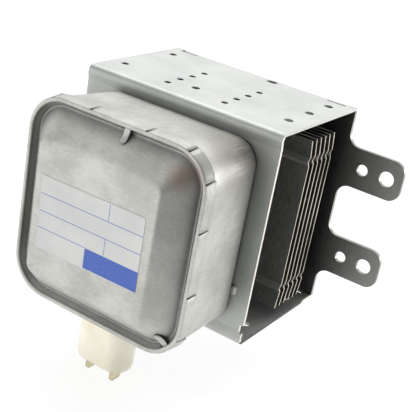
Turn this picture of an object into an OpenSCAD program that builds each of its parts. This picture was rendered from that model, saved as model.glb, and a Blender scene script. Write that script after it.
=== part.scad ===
// Microwave-oven magnetron: finned tube in a folded yoke, with its filter box and capacitor
// Origin at the centre of the mounting face, +Y along the antenna, +Z up, millimetres

/* [Yoke] */
// Width of the yoke across its open sides
yoke_w = 80; // [77:0.5:84]
// Height over the top and bottom walls
yoke_h = 78; // [76:0.5:84]
// Depth from the front bends to the mounting face
yoke_d = 55; // [53:0.5:60]
// Thickness of the yoke sheet
yoke_t = 1.1; // [0.9:0.1:1.6]
// Outside radius of the two bends
bend_r = 2.4; // [2:0.1:3.2]
// Set-back of the front wall behind its bends
wall_step = 0.5; // [0.3:0.1:0.8]
// Width of the tongues at the back corners
tongue_w = 3.4; // [2.5:0.1:4.5]
// Width of the relief beside each tongue
relief_w = 7.8; // [5:0.2:10]
// Depth of the relief ahead of the plate
relief_d = 1.7; // [1:0.1:2.5]
// Height of the notch low on the front wall's side edges
notch_h = 3.2; // [2.4:0.1:4]
// Depth of that notch
notch_d = 1.3; // [0.8:0.1:2]

/* [Wall holes] */
// Spacing across the two rows of cut-out screw holes
row_gap = 23.9; // [23:0.1:25]
// Pitch along a row
row_pitch = 7.75; // [6:0.05:8.5]
// First hole of a row, from the front bends
row_start = 10.1; // [8:0.1:14]
// Diameter of the row holes
row_hole_d = 2.5; // [1.8:0.1:3]
// Distance of the three edge holes from the yoke's side
edge_three_in = 6.8; // [5.5:0.1:9]
// Pitch of the three edge holes
edge_three_pitch = 14.8; // [12:0.1:16]
// First of the three edge holes, from the front bends
edge_three_start = 15.3; // [13:0.1:17]
// Diameter of the three edge holes
edge_three_d = 3.3; // [2.5:0.1:4]
// Distance of the two edge holes from the other side
edge_two_in = 5.4; // [5:0.1:8]
// Spacing of the two edge holes
edge_two_gap = 29.9; // [25:0.1:32]
// First of the two edge holes, from the front bends
edge_two_start = 13.7; // [10:0.1:15]
// Diameter of the two edge holes
edge_two_d = 2.9; // [2:0.1:3.5]
// Diameter of the locating hole
locating_d = 3.1; // [2.5:0.1:4]
// Length of the slot near the back edge
slot_len = 4.4; // [3.6:0.1:6]
// Width of that slot
slot_w = 3; // [2:0.1:3.4]

/* [Mounting plate] */
// Thickness of the mounting plate
plate_t = 1.5; // [1.2:0.1:2]
// Spacing of the outer holes across the plate
outer_hole_x = 115.6; // [113:0.1:120]
// Spacing of the inner holes across the plate
inner_hole_x = 96.2; // [94:0.1:98]
// Spacing of both hole pairs up the plate
hole_z = 35.5; // [33:0.1:38]
// Diameter of the outer holes
outer_hole_d = 5.8; // [4:0.1:6.5]
// Diameter of the inner holes
inner_hole_d = 4.3; // [3:0.1:5]
// Width of a tab
tab_w = 15.1; // [13:0.1:17]
// Length of a tab past its outer hole
tab_end = 6.1; // [5:0.1:8]
// Corner radius at the end of a tab
tab_r = 4.5; // [2:0.1:6]
// Fillet radius at the root of a tab
root_r = 4.6; // [2:0.1:6]

/* [Cooling fins] */
// Thickness of a fin
fin_t = 0.5; // [0.4:0.05:0.8]
// Pitch of the fins
fin_pitch = 3.32; // [2.8:0.02:3.8]
// Space between a fin's ends and the yoke walls
fin_clear = 5.5; // [3:0.1:8]
// Height of the pressed beads above the middle
bead_z = 24.5; // [23:0.1:26]
// Width of a bead
bead_w = 3; // [2:0.1:4]
// Depth of a bead
bead_h = 1.2; // [0.6:0.1:1.6]
// Set-back of the fin ends
fin_end_shift = 1.4; // [0.4:0.1:1.8]
// Space between the last fin and the anode's end
fin_inset = 0.7; // [0.4:0.1:1.5]

/* [Magnets] */
// Outside diameter of the ring magnets
magnet_d = 55; // [50:0.5:57]
// Bore of the ring magnets
magnet_bore = 21; // [20:0.2:24]
// Thickness of the filter-side magnet
filter_magnet_t = 13.5; // [12:0.1:14]
// Thickness of the antenna-side magnet
antenna_magnet_t = 11; // [10:0.1:12]

/* [Anode] */
// Outside diameter of the anode cylinder
anode_d = 39.6; // [38:0.1:41]
// Bore of the anode cylinder
anode_bore = 34.6; // [33.6:0.1:35.4]
// Thickness of a vane
vane_t = 1.9; // [1.4:0.1:2.2]
// Height of a vane along the axis
vane_h = 9.6; // [8.6:0.1:10.4]
// Diameter of the circle that the vane tips lie on
vane_tip_d = 9.2; // [8.8:0.1:9.8]
// Inside radius of the inner strap ring
strap_r = 5.5; // [5.3:0.1:5.8]
// Radial width of a strap ring
strap_w = 0.8; // [0.6:0.05:0.9]
// Height of a strap ring
strap_h = 0.9; // [0.7:0.05:1.2]
// Space between the two strap rings
strap_space = 0.7; // [0.6:0.05:0.9]
// Outside diameter of a pole piece
pole_d = 36.6; // [36:0.1:37]
// Thickness of a pole piece
pole_t = 1.6; // [1.2:0.1:2]
// Bore of a pole piece
pole_bore = 9.8; // [9:0.1:10.4]
// Space between a pole piece and the vanes
pole_gap = 1.6; // [1.2:0.1:2]
// Thickness of a seal shell
shell_t = 0.6; // [0.5:0.05:0.8]
// Outside diameter of a seal shell's neck
shell_d = 17.2; // [16.6:0.1:18]

/* [Cathode] */
// Diameter of the filament coil, on its wire centre
filament_d = 3.8; // [3.4:0.1:4.2]
// Diameter of the filament wire
filament_wire = 0.5; // [0.4:0.05:0.6]
// Length of the filament between its end hats
filament_len = 10; // [9:0.1:11]
// Diameter of an end hat
hat_d = 7.2; // [6.4:0.1:7.6]
// Thickness of an end hat
hat_t = 1.1; // [0.8:0.1:1.4]
// Diameter of the two leads
lead_d = 1.2; // [1:0.1:1.4]
// Spacing of the leads at the stem
lead_gap = 9; // [8:0.1:10]
// Height of the neck in front of the yoke
stem_rise = 5; // [4:0.1:7]
// Length of the stem insulator
stem_len = 15; // [12:0.1:16]
// Thickness of the filament terminals
terminal_t = 0.8; // [0.6:0.1:1]

/* [Antenna] */
// Height of the neck above the mounting face
antenna_base = 7; // [6.2:0.1:9]
// Length of the antenna insulator
insulator_len = 9; // [7:0.1:12]
// Bore of the antenna insulator
insulator_bore = 12.4; // [11:0.1:13]
// Diameter of the exhaust tube
exhaust_d = 6.6; // [5.6:0.1:7.4]
// Height of the exhaust tube
exhaust_h = 8; // [6:0.1:9]
// Diameter of the antenna lead
antenna_lead_d = 2.2; // [1.6:0.1:2.4]
// Outside diameter of the antenna cap
cap_d = 15.6; // [14.8:0.1:16.4]
// Height of the antenna cap
cap_h = 12.8; // [10.5:0.1:15]
// Wall of the antenna cap
cap_t = 0.5; // [0.4:0.05:0.7]
// Outside diameter of the knitted gasket
gasket_d = 31; // [28:0.2:36]
// Thickness of the knitted gasket
gasket_t = 5; // [4:0.1:6]

/* [Filter box] */
// Reach of the box in front of the yoke, to the cover's rim
box_depth = 33.5; // [32:0.1:38]
// Width of the box at its base
box_base_w = 65.6; // [63:0.2:65.8]
// Height of the box at its base
box_base_h = 67.6; // [66:0.2:67.6]
// Corner radius at the base
box_base_r = 9; // [9:0.2:12]
// Drop of the base's middle below the middle of the mouth
box_drop = 1; // [0.4:0.1:1]
// Radius between floor and walls
floor_r = 1.6; // [1.4:0.1:2.5]
// Thickness of the box sheet
box_t = 0.6; // [0.5:0.05:0.8]
// Sideways offset of the box from the axis
box_x = 0.2; // [-0.6:0.1:0.6]
// Upward offset of the box from the axis
box_z = 0.8; // [0:0.1:1]
// Length of the straight collar at the mouth
collar_len = 6; // [5.4:0.1:7]
// Width of a holding tongue
hold_w = 2.2; // [1.6:0.1:2.8]
// Reach of a holding tongue up the panel's slope
hold_reach = 2.6; // [1.6:0.1:3.4]
// Sideways place of the upper holding tongue
hold_x = 3.6; // [-8:0.1:8]

/* [Filter box cover] */
// Width over the cover's skirt
cover_w = 71; // [69.6:0.1:73]
// Height over the cover's skirt
cover_h = 72; // [70:0.1:74]
// Corner radius of the skirt
cover_r = 13.5; // [11:0.1:15]
// Thickness of the cover sheet
cover_t = 0.45; // [0.4:0.05:0.6]
// Length of the skirt
skirt_len = 5; // [4:0.1:5.2]
// Depth of the valley inside the rim
valley_d = 2.5; // [1.8:0.1:3]
// Lean of the valley's outer side
valley_lean = 1.3; // [0.6:0.1:1.6]
// Width of the valley floor
valley_w = 0.5; // [0.4:0.1:1]
// Rise of the panel in front of the rim
panel_rise = 6.9; // [4:0.1:9]
// Width of the flat panel
panel_w = 48.6; // [42:0.2:52]
// Height of the flat panel
panel_h = 47.2; // [42:0.2:52]
// Corner radius of the panel
panel_r = 6; // [4:0.1:8]
// Radius along the panel's edge
panel_edge = 2; // [1:0.1:2.4]
// Width of the slits in the skirt
slit_w = 0.9; // [0.5:0.1:1.4]
// Distance of the inner slits from the middle of a side
slit_in = 11; // [9:0.1:14]
// Distance of the outer slits from the middle of a side
slit_out = 27; // [25.5:0.1:28.5]

/* [Chokes] */
// Diameter of a choke coil, on its wire centre
choke_d = 7.6; // [7:0.1:9]
// Diameter of the choke wire
choke_wire = 1.6; // [1.2:0.1:1.8]
// Pitch of the turns
choke_pitch = 2; // [1.9:0.05:2.2]
// Distance of each choke from the middle
choke_x = 20; // [18:0.2:22]
// Distance of the chokes in front of the yoke
choke_out = 13; // [11:0.1:15]
// Length of a ferrite core
core_len = 20; // [16:0.2:24]

/* [Capacitor] */
// Sideways place of the capacitor
capacitor_x = 0.2; // [-2:0.1:2]
// Distance of the capacitor in front of the yoke
capacitor_out = 21; // [18:0.1:21.4]
// Long side of the capacitor housing
housing_w = 21.5; // [20:0.1:23]
// Short side of the capacitor housing
housing_d = 13; // [11.5:0.1:13.4]
// Lowest point of the housing below the axis
housing_low = 55; // [50:0.1:60]
// Rounding at the housing's lower edge
housing_edge = 1.6; // [0.8:0.1:2.5]
// Spacing of the two blades
blade_gap = 10.7; // [9:0.1:11]
// Width of a blade
blade_w = 6.35; // [4.8:0.05:6.35]
// Thickness of a blade
blade_t = 0.8; // [0.5:0.1:1]
// Length of a blade below the housing
blade_len = 5.4; // [3:0.1:9]
// Diameter of the rod above each blade
rod_d = 2.4; // [1.8:0.1:3]
// Thickness of the steel flange
flange_t = 1; // [0.8:0.1:1.4]
// Diameter of the rivets
rivet_d = 3.2; // [2.4:0.1:3.6]

/* [Hidden] */
$fn = 64;
hull_fn = 40;
// Clearance of pressed, brazed and inserted fits
fit = 0.05;
// Clearance of sheet pieces that slip together
slip = 0.1;
cut_over = 1;
lap = 0.5;
vane_count = 10;
fin_count = 6;

// Places along the axis
y_fold = -yoke_d;
y_wall = y_fold + wall_step;
y_wall_in = y_wall + yoke_t;
y_plate_in = -plate_t;
anode_y0 = y_wall_in + filter_magnet_t + shell_t;
anode_y1 = y_plate_in - antenna_magnet_t - shell_t;
y_mid = (anode_y0 + anode_y1) / 2;
y_last_fin = anode_y1 - fin_inset - fin_t / 2;
y_stem0 = y_fold - stem_rise;
y_stem1 = y_stem0 - stem_len;
y_rim = y_fold - box_depth;
y_edge = y_rim + cover_t + slip;
y_collar = y_edge + collar_len;
y_valley = y_rim + valley_d;
y_panel = y_rim - panel_rise;
y_choke = y_fold - choke_out;
y_capacitor = y_fold - capacitor_out;

// Yoke and plate
leg_len = 0.6;
step_run = 2.4;
leg_z = yoke_h / 2 - bend_r - leg_len;
step_z = leg_z - step_run;
notch_rise = 2.4;
notch_z = step_z - notch_rise;
row_shift = -0.95;
row_count = 4;
locating_x = -3.9;
locating_start = 14.4;
slot_x = 5.95;
slot_in = 2.2;
pip_w = 2.2;
pip_len = 4;
pip_z = 19.7;
pip_h = 0.9;
plate_over = 0.3;
plate_set = 0.4;
plate_w = yoke_w + 2 * plate_over;
plate_h = yoke_h - 2 * plate_set;
neck_clear = 1.2;
neck_hole_d = shell_d + 2 * neck_clear;
magnet_chamfer = 1;

// Fins
fin_half = yoke_h / 2 - yoke_t - fin_clear;
collar_d = anode_d + 2 * fit;

// Tube
anode_len = anode_y1 - anode_y0;
pole_depth = anode_len / 2 - vane_h / 2 - pole_gap;
pole_flat_r = 13;
pole_tip_r = 7;
flange_inset = 0.4;
shell_flange_r = anode_d / 2 - flange_inset;
strap_clear = 0.25;
hat_hub_d = filament_d - filament_wire - 2 * fit;
hat_hub_h = 0.5;
filament_turns = 7;
side_lead_x = hat_d / 2 - lead_d / 2;
joggle_top = 4;
joggle_foot = 3;
joggle_y0 = anode_y0 - joggle_top;
joggle_y1 = y_stem0 + joggle_foot;
terminal_split = 3;
antenna_lead_x = strap_r + 2 * strap_w + strap_space + 3 * strap_clear + antenna_lead_d / 2;
antenna_bend_in = 1.4;
antenna_bend = pole_depth - antenna_bend_in;
antenna_run = 8;
antenna_hole_gap = 1.5;
antenna_hole_d = antenna_lead_d + 2 * antenna_hole_gap;
exhaust_wall = 0.9;
exhaust_seat = 0.8;

// Box and cover
box_w = cover_w - 2 * (cover_t + slip);
box_h = cover_h - 2 * (cover_t + slip);
box_r = cover_r - cover_t - slip;
wall_run = y_wall - floor_r - y_collar;
wall_lean = (box_h / 2 - box_base_h / 2 - box_drop) / wall_run;
draft = atan(wall_lean);
rim_w = 2 * cover_t + box_t + 2 * slip;
rim_edge = 0.4;
panel_foot = rim_w + valley_lean + valley_w;
edge_grow = 2 * panel_edge / 3;
slope_run = min(cover_w - panel_w, cover_h - panel_h) / 2 - edge_grow - panel_foot;
slope = (y_valley - y_panel - edge_grow) / slope_run;
hold_angle = 45;
box_rivet_at = 22;
rivet_head_over = 1.1;
rivet_head_d = rivet_d + 2 * rivet_head_over;
rivet_head_h = 0.8;

// Chokes and capacitor
choke_turns = 8.5;
turn_steps = 12;
choke_z1 = 5.6;
choke_z0 = choke_z1 - choke_turns * choke_pitch;
core_d = choke_d - choke_wire - 2 * slip;
plug_inset = 2;
plug_rise = 3.2;
ceramic_h = 5;
inner_case_h = 8;
blade_grip = 6;
flange_over = 8.5;
flange_margin = 4.2;
flange_r = 3;
seat_over = 3.2;
inner_inset = 0.5;
z_seat = box_z - box_drop - box_base_h / 2 - (y_wall - floor_r - y_capacitor) * wall_lean;
z_plug = z_seat + plug_rise;
z_case = z_plug + ceramic_h;
z_rod_top = choke_z0 + choke_wire / 2;

// Finishes
zinc_steel = [0.78, 0.79, 0.77];
dark_steel = [0.35, 0.36, 0.35];
tin_steel = [0.72, 0.72, 0.69];
fin_alloy = [0.7, 0.71, 0.7];
ferrite = [0.17, 0.17, 0.18];
copper = [0.72, 0.45, 0.3];
alumina = [0.93, 0.91, 0.88];
cream = [0.89, 0.86, 0.76];
brassy = [0.82, 0.79, 0.66];
tungsten = [0.45, 0.45, 0.47];

// Rectangle with round corners, centred
module round_rect(w, h, r) {
    square([w - 2 * r, h], center = true);
    square([w, h - 2 * r], center = true);
    for (sx = [-1, 1], sy = [-1, 1])
        translate([sx * (w / 2 - r), sy * (h / 2 - r)]) circle(r);
}

// Slot outline, round at both ends
module stadium(l, w) {
    square([l - w, w], center = true);
    for (s = [-1, 1]) translate([s * (l - w) / 2, 0]) circle(w / 2);
}

// An outline drawn in X and Z, given depth from y0 to y1
module along_y(y0, y1) {
    translate([0, y1, 0]) rotate([90, 0, 0]) linear_extrude(y1 - y0) children();
}

// An outline drawn in Y and Z, given width about the middle
module along_x(w) {
    rotate([90, 0, 90]) linear_extrude(w, center = true) children();
}

module rod_y(d, y0, y1) {
    along_y(y0, y1) circle(d = d);
}

// A profile of radius and Y, turned about the axis
module turned(profile) {
    rotate([-90, 0, 0]) rotate_extrude() polygon(profile);
}

module ring_y(d_out, d_in, y0, y1) {
    turned([[d_in / 2, y0], [d_out / 2, y0], [d_out / 2, y1], [d_in / 2, y1]]);
}

function unit(v) = v / norm(v);

function direction(path, i) = unit(path[min(i + 1, len(path) - 1)] - path[max(i - 1, 0)]);

function side_of(path, i) = let (d = direction(path, i)) [-d[1], d[0]];

// Outline of a sheet of thickness t that follows a path
function sheet(path, t) = concat(
    [for (i = [0 : len(path) - 1]) path[i] + side_of(path, i) * t / 2],
    [for (i = [len(path) - 1 : -1 : 0]) path[i] - side_of(path, i) * t / 2]
);

function wire_ring(path, i, r, sides, up) =
    let (d = direction(path, i), s = unit(cross(d, up)), u = cross(s, d))
    [for (k = [0 : sides - 1]) path[i] + r * (cos(360 * k / sides) * s + sin(360 * k / sides) * u)];

// Round wire along a path that never runs along the up direction
module wire(path, d, sides, up) {
    n = len(path);
    points = [for (i = [0 : n - 1]) each wire_ring(path, i, d / 2, sides, up)];
    skin = [
        for (i = [0 : n - 2], k = [0 : sides - 1])
        let (a = i * sides, b = a + sides, next = (k + 1) % sides)
        each [[a + k, a + next, b + next], [a + k, b + next, b + k]]
    ];
    start = [for (k = [sides - 1 : -1 : 0]) k];
    end = [for (k = [0 : sides - 1]) (n - 1) * sides + k];
    polyhedron(points, concat([start, end], skin));
}

// Folded sheet of the yoke, upper half, in Y and Z
module half_fold() {
    translate([y_fold + bend_r, yoke_h / 2 - yoke_t]) square([yoke_d - bend_r, yoke_t]);
    translate([y_fold + bend_r, yoke_h / 2 - bend_r]) intersection() {
        difference() {
            circle(bend_r);
            circle(bend_r - yoke_t);
        }
        translate([-bend_r, 0]) square(bend_r);
    }
    translate([y_fold, leg_z]) square([yoke_t, leg_len]);
    polygon([
        [y_fold, leg_z], [y_fold + yoke_t, leg_z],
        [y_wall_in, step_z], [y_wall, step_z]
    ]);
    translate([y_wall, 0]) square([yoke_t, step_z]);
}

// Holes of the top wall, seen from above
module wall_holes() {
    for (s = [-1, 1], i = [0 : row_count - 1])
        translate([row_shift + s * row_gap / 2, y_fold + row_start + i * row_pitch])
            circle(d = row_hole_d);
    for (i = [0 : 2])
        translate([yoke_w / 2 - edge_three_in, y_fold + edge_three_start + i * edge_three_pitch])
            circle(d = edge_three_d);
    for (i = [0, 1])
        translate([edge_two_in - yoke_w / 2, y_fold + edge_two_start + i * edge_two_gap])
            circle(d = edge_two_d);
    translate([locating_x, y_fold + locating_start]) circle(d = locating_d);
    translate([slot_x, y_plate_in - slot_in]) stadium(slot_len, slot_w);
}

// Oblong pip pressed out of the front wall, beside the box
module wall_pip() {
    half = [
        [0, y_wall + fit], [0, y_wall - pip_h], [pip_w / 4, y_wall - pip_h],
        [pip_w / 2, y_wall - pip_h / 3], [pip_w / 2, y_wall + fit]
    ];
    for (s = [-1, 1]) {
        translate([0, 0, s * (pip_len - pip_w) / 2]) turned(half);
        mirror([s < 0 ? 1 : 0, 0, 0]) linear_extrude(pip_len - pip_w, center = true) polygon(half);
    }
}

module yoke_frame() {
    reach = yoke_h / 2 + cut_over;
    tongue_x = yoke_w / 2 - tongue_w;
    color(zinc_steel) {
        difference() {
            along_x(yoke_w) {
                half_fold();
                mirror([0, 1]) half_fold();
            }
            for (turn = [0, 180])
                rotate([0, turn, 0]) linear_extrude(reach) wall_holes();
            translate([-tongue_x, y_plate_in, -reach])
                cube([2 * tongue_x, plate_t + cut_over, 2 * reach]);
            for (s = [-1, 1])
                translate([s * (tongue_x - relief_w / 2) - relief_w / 2, y_plate_in - relief_d, -reach])
                    cube([relief_w, plate_t + relief_d + cut_over, 2 * reach]);
            for (s = [-1, 1])
                translate([s * yoke_w / 2 - notch_d, y_fold - cut_over, -notch_z - notch_h])
                    cube([2 * notch_d, yoke_t + wall_step + 2 * cut_over, notch_h]);
            rod_y(neck_hole_d, y_fold - cut_over, y_wall_in + cut_over);
            at_box_rivets() rod_y(rivet_d + 2 * fit, y_fold - cut_over, y_wall_in + cut_over);
        }
        for (s = [-1, 1])
            translate([s * (box_x + box_base_w / 2 - floor_r + pip_h + pip_w / 2 + slip), 0, -s * pip_z])
                wall_pip();
    }
}

// One tab of the plate, on the right above the middle
module tab_outline() {
    root_x = plate_w / 2;
    end_x = outer_hole_x / 2 + tab_end;
    translate([root_x - lap, (hole_z - tab_w) / 2]) square([end_x - tab_r - root_x + lap, tab_w]);
    translate([root_x, (hole_z - tab_w) / 2 + tab_r]) square([end_x - root_x, tab_w - 2 * tab_r]);
    for (s = [-1, 1]) {
        translate([end_x - tab_r, hole_z / 2 + s * (tab_w / 2 - tab_r)]) circle(tab_r);
        translate([root_x, hole_z / 2 + s * tab_w / 2]) mirror([0, s < 0 ? 1 : 0]) difference() {
            translate([-lap, -lap]) square(root_r + lap);
            translate([root_r, root_r]) circle(root_r);
        }
    }
}

module mounting_plate() {
    corner_w = tongue_w + plate_over + slip;
    corner_h = yoke_t + 2 * slip - plate_set;
    color(dark_steel) along_y(y_plate_in, 0) difference() {
        union() {
            square([plate_w, plate_h], center = true);
            for (mx = [0, 1], my = [0, 1])
                mirror([mx, 0]) mirror([0, my]) tab_outline();
        }
        for (sx = [-1, 1], sz = [-1, 1]) {
            translate([sx * (plate_w - corner_w + cut_over) / 2, sz * (plate_h - corner_h + cut_over) / 2])
                square([corner_w + cut_over, corner_h + cut_over], center = true);
            translate([sx * outer_hole_x / 2, sz * hole_z / 2]) circle(d = outer_hole_d);
            translate([sx * inner_hole_x / 2, sz * hole_z / 2]) circle(d = inner_hole_d);
        }
        circle(d = neck_hole_d);
    }
}

function fin_half_path() = [
    [0, bead_z - bead_w / 2], [-bead_h, bead_z], [0, bead_z + bead_w / 2], [-fin_end_shift, fin_half]
];

function fin_path() = let (up = fin_half_path()) concat(
    [for (i = [len(up) - 1 : -1 : 0]) [up[i][0], -up[i][1]]], up
);

// Fin with its beads, and the drawn collar that spaces it from the next one
module cooling_fin(i) {
    y = y_last_fin - (fin_count - i) * fin_pitch;
    collar_end = y + fin_t / 2 - fin_pitch + fit;
    color(fin_alloy) difference() {
        union() {
            translate([0, y, 0]) along_x(yoke_w) polygon(sheet(fin_path(), fin_t));
            rod_y(collar_d + 2 * fin_t, collar_end, y);
        }
        rod_y(collar_d, collar_end - cut_over, y + fin_t + cut_over);
    }
}

module ring_magnet(y0, y1) {
    r0 = magnet_bore / 2;
    r1 = magnet_d / 2;
    c = magnet_chamfer;
    color(ferrite) turned([
        [r0, y0], [r1 - c, y0], [r1, y0 + c], [r1, y1 - c], [r1 - c, y1], [r0, y1]
    ]);
}

module anode_cylinder() {
    r = anode_bore / 2;
    seat = pole_d / 2 + fit;
    color(copper) turned([
        [r, anode_y0 + pole_t], [seat, anode_y0 + pole_t], [seat, anode_y0], [anode_d / 2, anode_y0],
        [anode_d / 2, anode_y1], [seat, anode_y1], [seat, anode_y1 - pole_t], [r, anode_y1 - pole_t]
    ]);
}

function strap_inner(j) = strap_r + j * (strap_w + strap_space);

// Vane number i; every second vane touches the other strap of each end
module anode_vane(i) {
    end = vane_h / 2;
    color(copper) rotate([0, (i - 1) * 360 / vane_count, 0]) difference() {
        intersection() {
            translate([vane_tip_d / 2, y_mid - end, -vane_t / 2])
                cube([anode_bore, vane_h, vane_t]);
            rod_y(anode_bore - 2 * fit, y_mid - vane_h, y_mid + vane_h);
        }
        for (j = [0, 1], e = [0, 1]) {
            floor_d = strap_h + ((i + j + e) % 2 == 0 ? 0 : strap_clear);
            cut = strap_inner(j);
            mirror_y(e) ring_y(2 * (cut + strap_w + strap_clear), 2 * (cut - strap_clear),
                y_mid + end - floor_d, y_mid + end + cut_over);
        }
    }
}

// Turns a piece about the tube's middle when e is 1
module mirror_y(e) {
    if (e == 1)
        translate([0, 2 * y_mid, 0]) mirror([0, 1, 0]) children();
    else
        children();
}

module strap_ring(j, e) {
    r = strap_inner(j);
    top = y_mid + vane_h / 2;
    color(copper) mirror_y(e) ring_y(2 * (r + strap_w), 2 * r, top - strap_h, top);
}

// Funnel-shaped pole piece at the antenna end, mirrored for the other end
module pole_piece(e) {
    r = pole_d / 2;
    top = anode_y1;
    tip = top - pole_depth;
    color(tungsten) difference() {
        mirror_y(e) turned([
            [r, top], [r, top - pole_t], [pole_flat_r, top - pole_t], [pole_tip_r, tip],
            [pole_bore / 2, tip], [pole_bore / 2, tip + pole_t],
            [pole_tip_r - pole_t / 2, tip + pole_t], [pole_flat_r - pole_t / 2, top]
        ]);
        if (e == 0)
            translate([antenna_lead_x, 0, 0]) rod_y(antenna_hole_d, tip - cut_over, top + cut_over);
    }
}

// Thin shell: a flange on the anode's end and a neck to the insulator
module seal_shell(e, neck_end) {
    r = shell_d / 2;
    face = e == 0 ? anode_y1 : anode_y0;
    out = e == 0 ? shell_t : -shell_t;
    color(tin_steel) turned([
        [shell_flange_r, face], [shell_flange_r, face + out], [r, face + out],
        [r, neck_end], [r - shell_t, neck_end], [r - shell_t, face]
    ]);
}

function filament_path() = let (
    steps = filament_turns * turn_steps,
    room = filament_len - filament_wire - 2 * fit,
    r = filament_d / 2
) [
    for (i = [0 : steps], a = 360 * i / turn_steps)
    [r * cos(a), y_mid - room / 2 + room * i / steps, r * sin(a)]
];

module cathode_filament() {
    color(tungsten) wire(filament_path(), filament_wire, 6, [0, 1, 0]);
}

module upper_end_hat() {
    y = y_mid + filament_len / 2;
    r = lead_d / 2 + fit;
    color(tungsten) turned([
        [r, y - hat_hub_h], [hat_hub_d / 2, y - hat_hub_h], [hat_hub_d / 2, y],
        [hat_d / 2, y], [hat_d / 2, y + hat_t], [r, y + hat_t]
    ]);
}

module lower_end_hat() {
    y = y_mid - filament_len / 2;
    r = lead_d / 2 + 4 * fit;
    color(tungsten) turned([
        [r, y + hat_hub_h], [hat_hub_d / 2, y + hat_hub_h], [hat_hub_d / 2, y],
        [hat_d / 2, y], [hat_d / 2, y - hat_t], [r, y - hat_t]
    ]);
}

// Lead that leaves the cathode at x0 and the stem at x1
module cathode_lead(x0, y0, x1) {
    y_end = y_stem1 - terminal_t - fit;
    color(tungsten) wire(
        [[x0, y0, 0], [x0, joggle_y0, 0], [x1, joggle_y1, 0], [x1, y_end, 0]], lead_d, 12, [0, 0, 1]
    );
}

module centre_lead() {
    cathode_lead(0, y_mid + filament_len / 2 + hat_t, -lead_gap / 2);
}

module side_lead() {
    cathode_lead(side_lead_x, y_mid - filament_len / 2 - hat_t, lead_gap / 2);
}

module lead_bores() {
    for (s = [-1, 1])
        translate([s * lead_gap / 2, 0, 0])
            rod_y(lead_d + 2 * fit, y_stem1 - terminal_t - cut_over, y_stem0 + cut_over);
}

module stem_insulator() {
    color(alumina) difference() {
        rod_y(shell_d, y_stem1, y_stem0);
        lead_bores();
    }
}

// Half-round terminal on the stem's end
module filament_terminal(s) {
    half = shell_d / 2;
    color(tin_steel) difference() {
        along_y(y_stem1 - terminal_t, y_stem1) intersection() {
            circle(half - flange_inset);
            translate([s * (half + terminal_split / 2), 0]) square([2 * half, 2 * half], center = true);
        }
        lead_bores();
    }
}

module antenna_insulator() {
    color(alumina)
        ring_y(shell_d, insulator_bore, antenna_base, antenna_base + insulator_len);
}

// Strip from a vane's end through the pole piece to the exhaust tube
module antenna_lead() {
    y_bend = anode_y1 - antenna_bend;
    y_tip = antenna_base + insulator_len + exhaust_h - 2 * exhaust_wall;
    color(copper) wire([
        [antenna_lead_x, y_mid + vane_h / 2, 0], [antenna_lead_x, y_bend, 0],
        [0, anode_y1 + antenna_run, 0], [0, y_tip, 0]
    ], antenna_lead_d, 12, [0, 0, 1]);
}

module exhaust_tube() {
    y = antenna_base + insulator_len;
    r = exhaust_d / 2;
    seat_r = cap_d / 2 - cap_t - slip;
    color(copper) turned([
        [r - exhaust_wall, y], [seat_r, y], [seat_r, y + exhaust_seat], [r, y + exhaust_seat],
        [r, y + exhaust_h - r / 2], [r / 2, y + exhaust_h], [0, y + exhaust_h],
        [0, y + exhaust_h - exhaust_wall / 2], [r - exhaust_wall, y + exhaust_h - r / 2]
    ]);
}

module antenna_cap() {
    y = antenna_base + insulator_len;
    r = cap_d / 2;
    dome = 1.4;
    color(tin_steel) turned([
        [r - cap_t, y], [r, y], [r, y + cap_h - dome], [r - dome / 3, y + cap_h - dome / 3],
        [r - dome, y + cap_h], [0, y + cap_h], [0, y + cap_h - cap_t],
        [r - dome - cap_t / 3, y + cap_h - cap_t], [r - cap_t, y + cap_h - dome]
    ]);
}

module rf_gasket() {
    inner = shell_d / 2 + 2 * slip;
    band = gasket_d / 2 - inner;
    soft = gasket_t / 3;
    color(tin_steel) rotate([-90, 0, 0]) rotate_extrude()
        translate([inner + band / 2, gasket_t / 2]) round_rect(band, gasket_t, soft);
}

module at_box() {
    translate([box_x, 0, box_z]) children();
}

// Thin slab of a rounded rectangle at y, on the box's own centre
module box_slab(w, h, r, y) {
    at_box() along_y(y - fit, y) round_rect(w, h, r, $fn = hull_fn);
}

// Tapered body of the box, inset by the sheet for its inside
module box_body(inset) {
    y_floor = y_wall - inset;
    hull() {
        translate([0, 0, -box_drop]) {
            box_slab(box_base_w - 2 * floor_r, box_base_h - 2 * floor_r, box_base_r - floor_r, y_floor);
            box_slab(box_base_w - 2 * inset, box_base_h - 2 * inset, box_base_r - inset, y_wall - floor_r);
        }
        box_slab(box_w - 2 * inset, box_h - 2 * inset, box_r - inset, y_collar);
    }
}

module box_collar(inset, y0, y1) {
    at_box() along_y(y0, y1)
        round_rect(box_w - 2 * inset, box_h - 2 * inset, box_r - inset);
}

module at_box_rivets() {
    for (sx = [-1, 1], sz = [-1, 1])
        translate([box_x + sx * box_rivet_at, 0, box_z + sz * box_rivet_at]) children();
}

// Holding tongue at the top of the mouth: in from the wall's edge, then down on the panel's slope
module hold_tongue(w) {
    wall_z = box_h / 2 - box_t / 2;
    bend_y = y_edge + box_t / 2;
    end_y = y_valley - hold_reach * slope - box_t / 2 * sqrt(1 + slope * slope) - slip;
    end_z = cover_h / 2 - panel_foot - hold_reach;
    path = [[bend_y, wall_z], [bend_y, cover_h / 2 - rim_w - box_t], [end_y, end_z]];
    at_box() along_x(w) polygon(sheet(path, box_t));
}

// The two places of the tongues: along the top side and on the lower right corner
module at_hold_tongues() {
    corner = [box_w / 2 - box_r, -box_h / 2 + box_r];
    slide = box_h / 2 - box_r;
    translate([hold_x - box_x, 0, 0]) children();
    translate([box_x + corner[0], 0, box_z + corner[1]]) rotate([0, 180 - hold_angle, 0])
        translate([-box_x, 0, -box_z - slide]) children();
}

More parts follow.
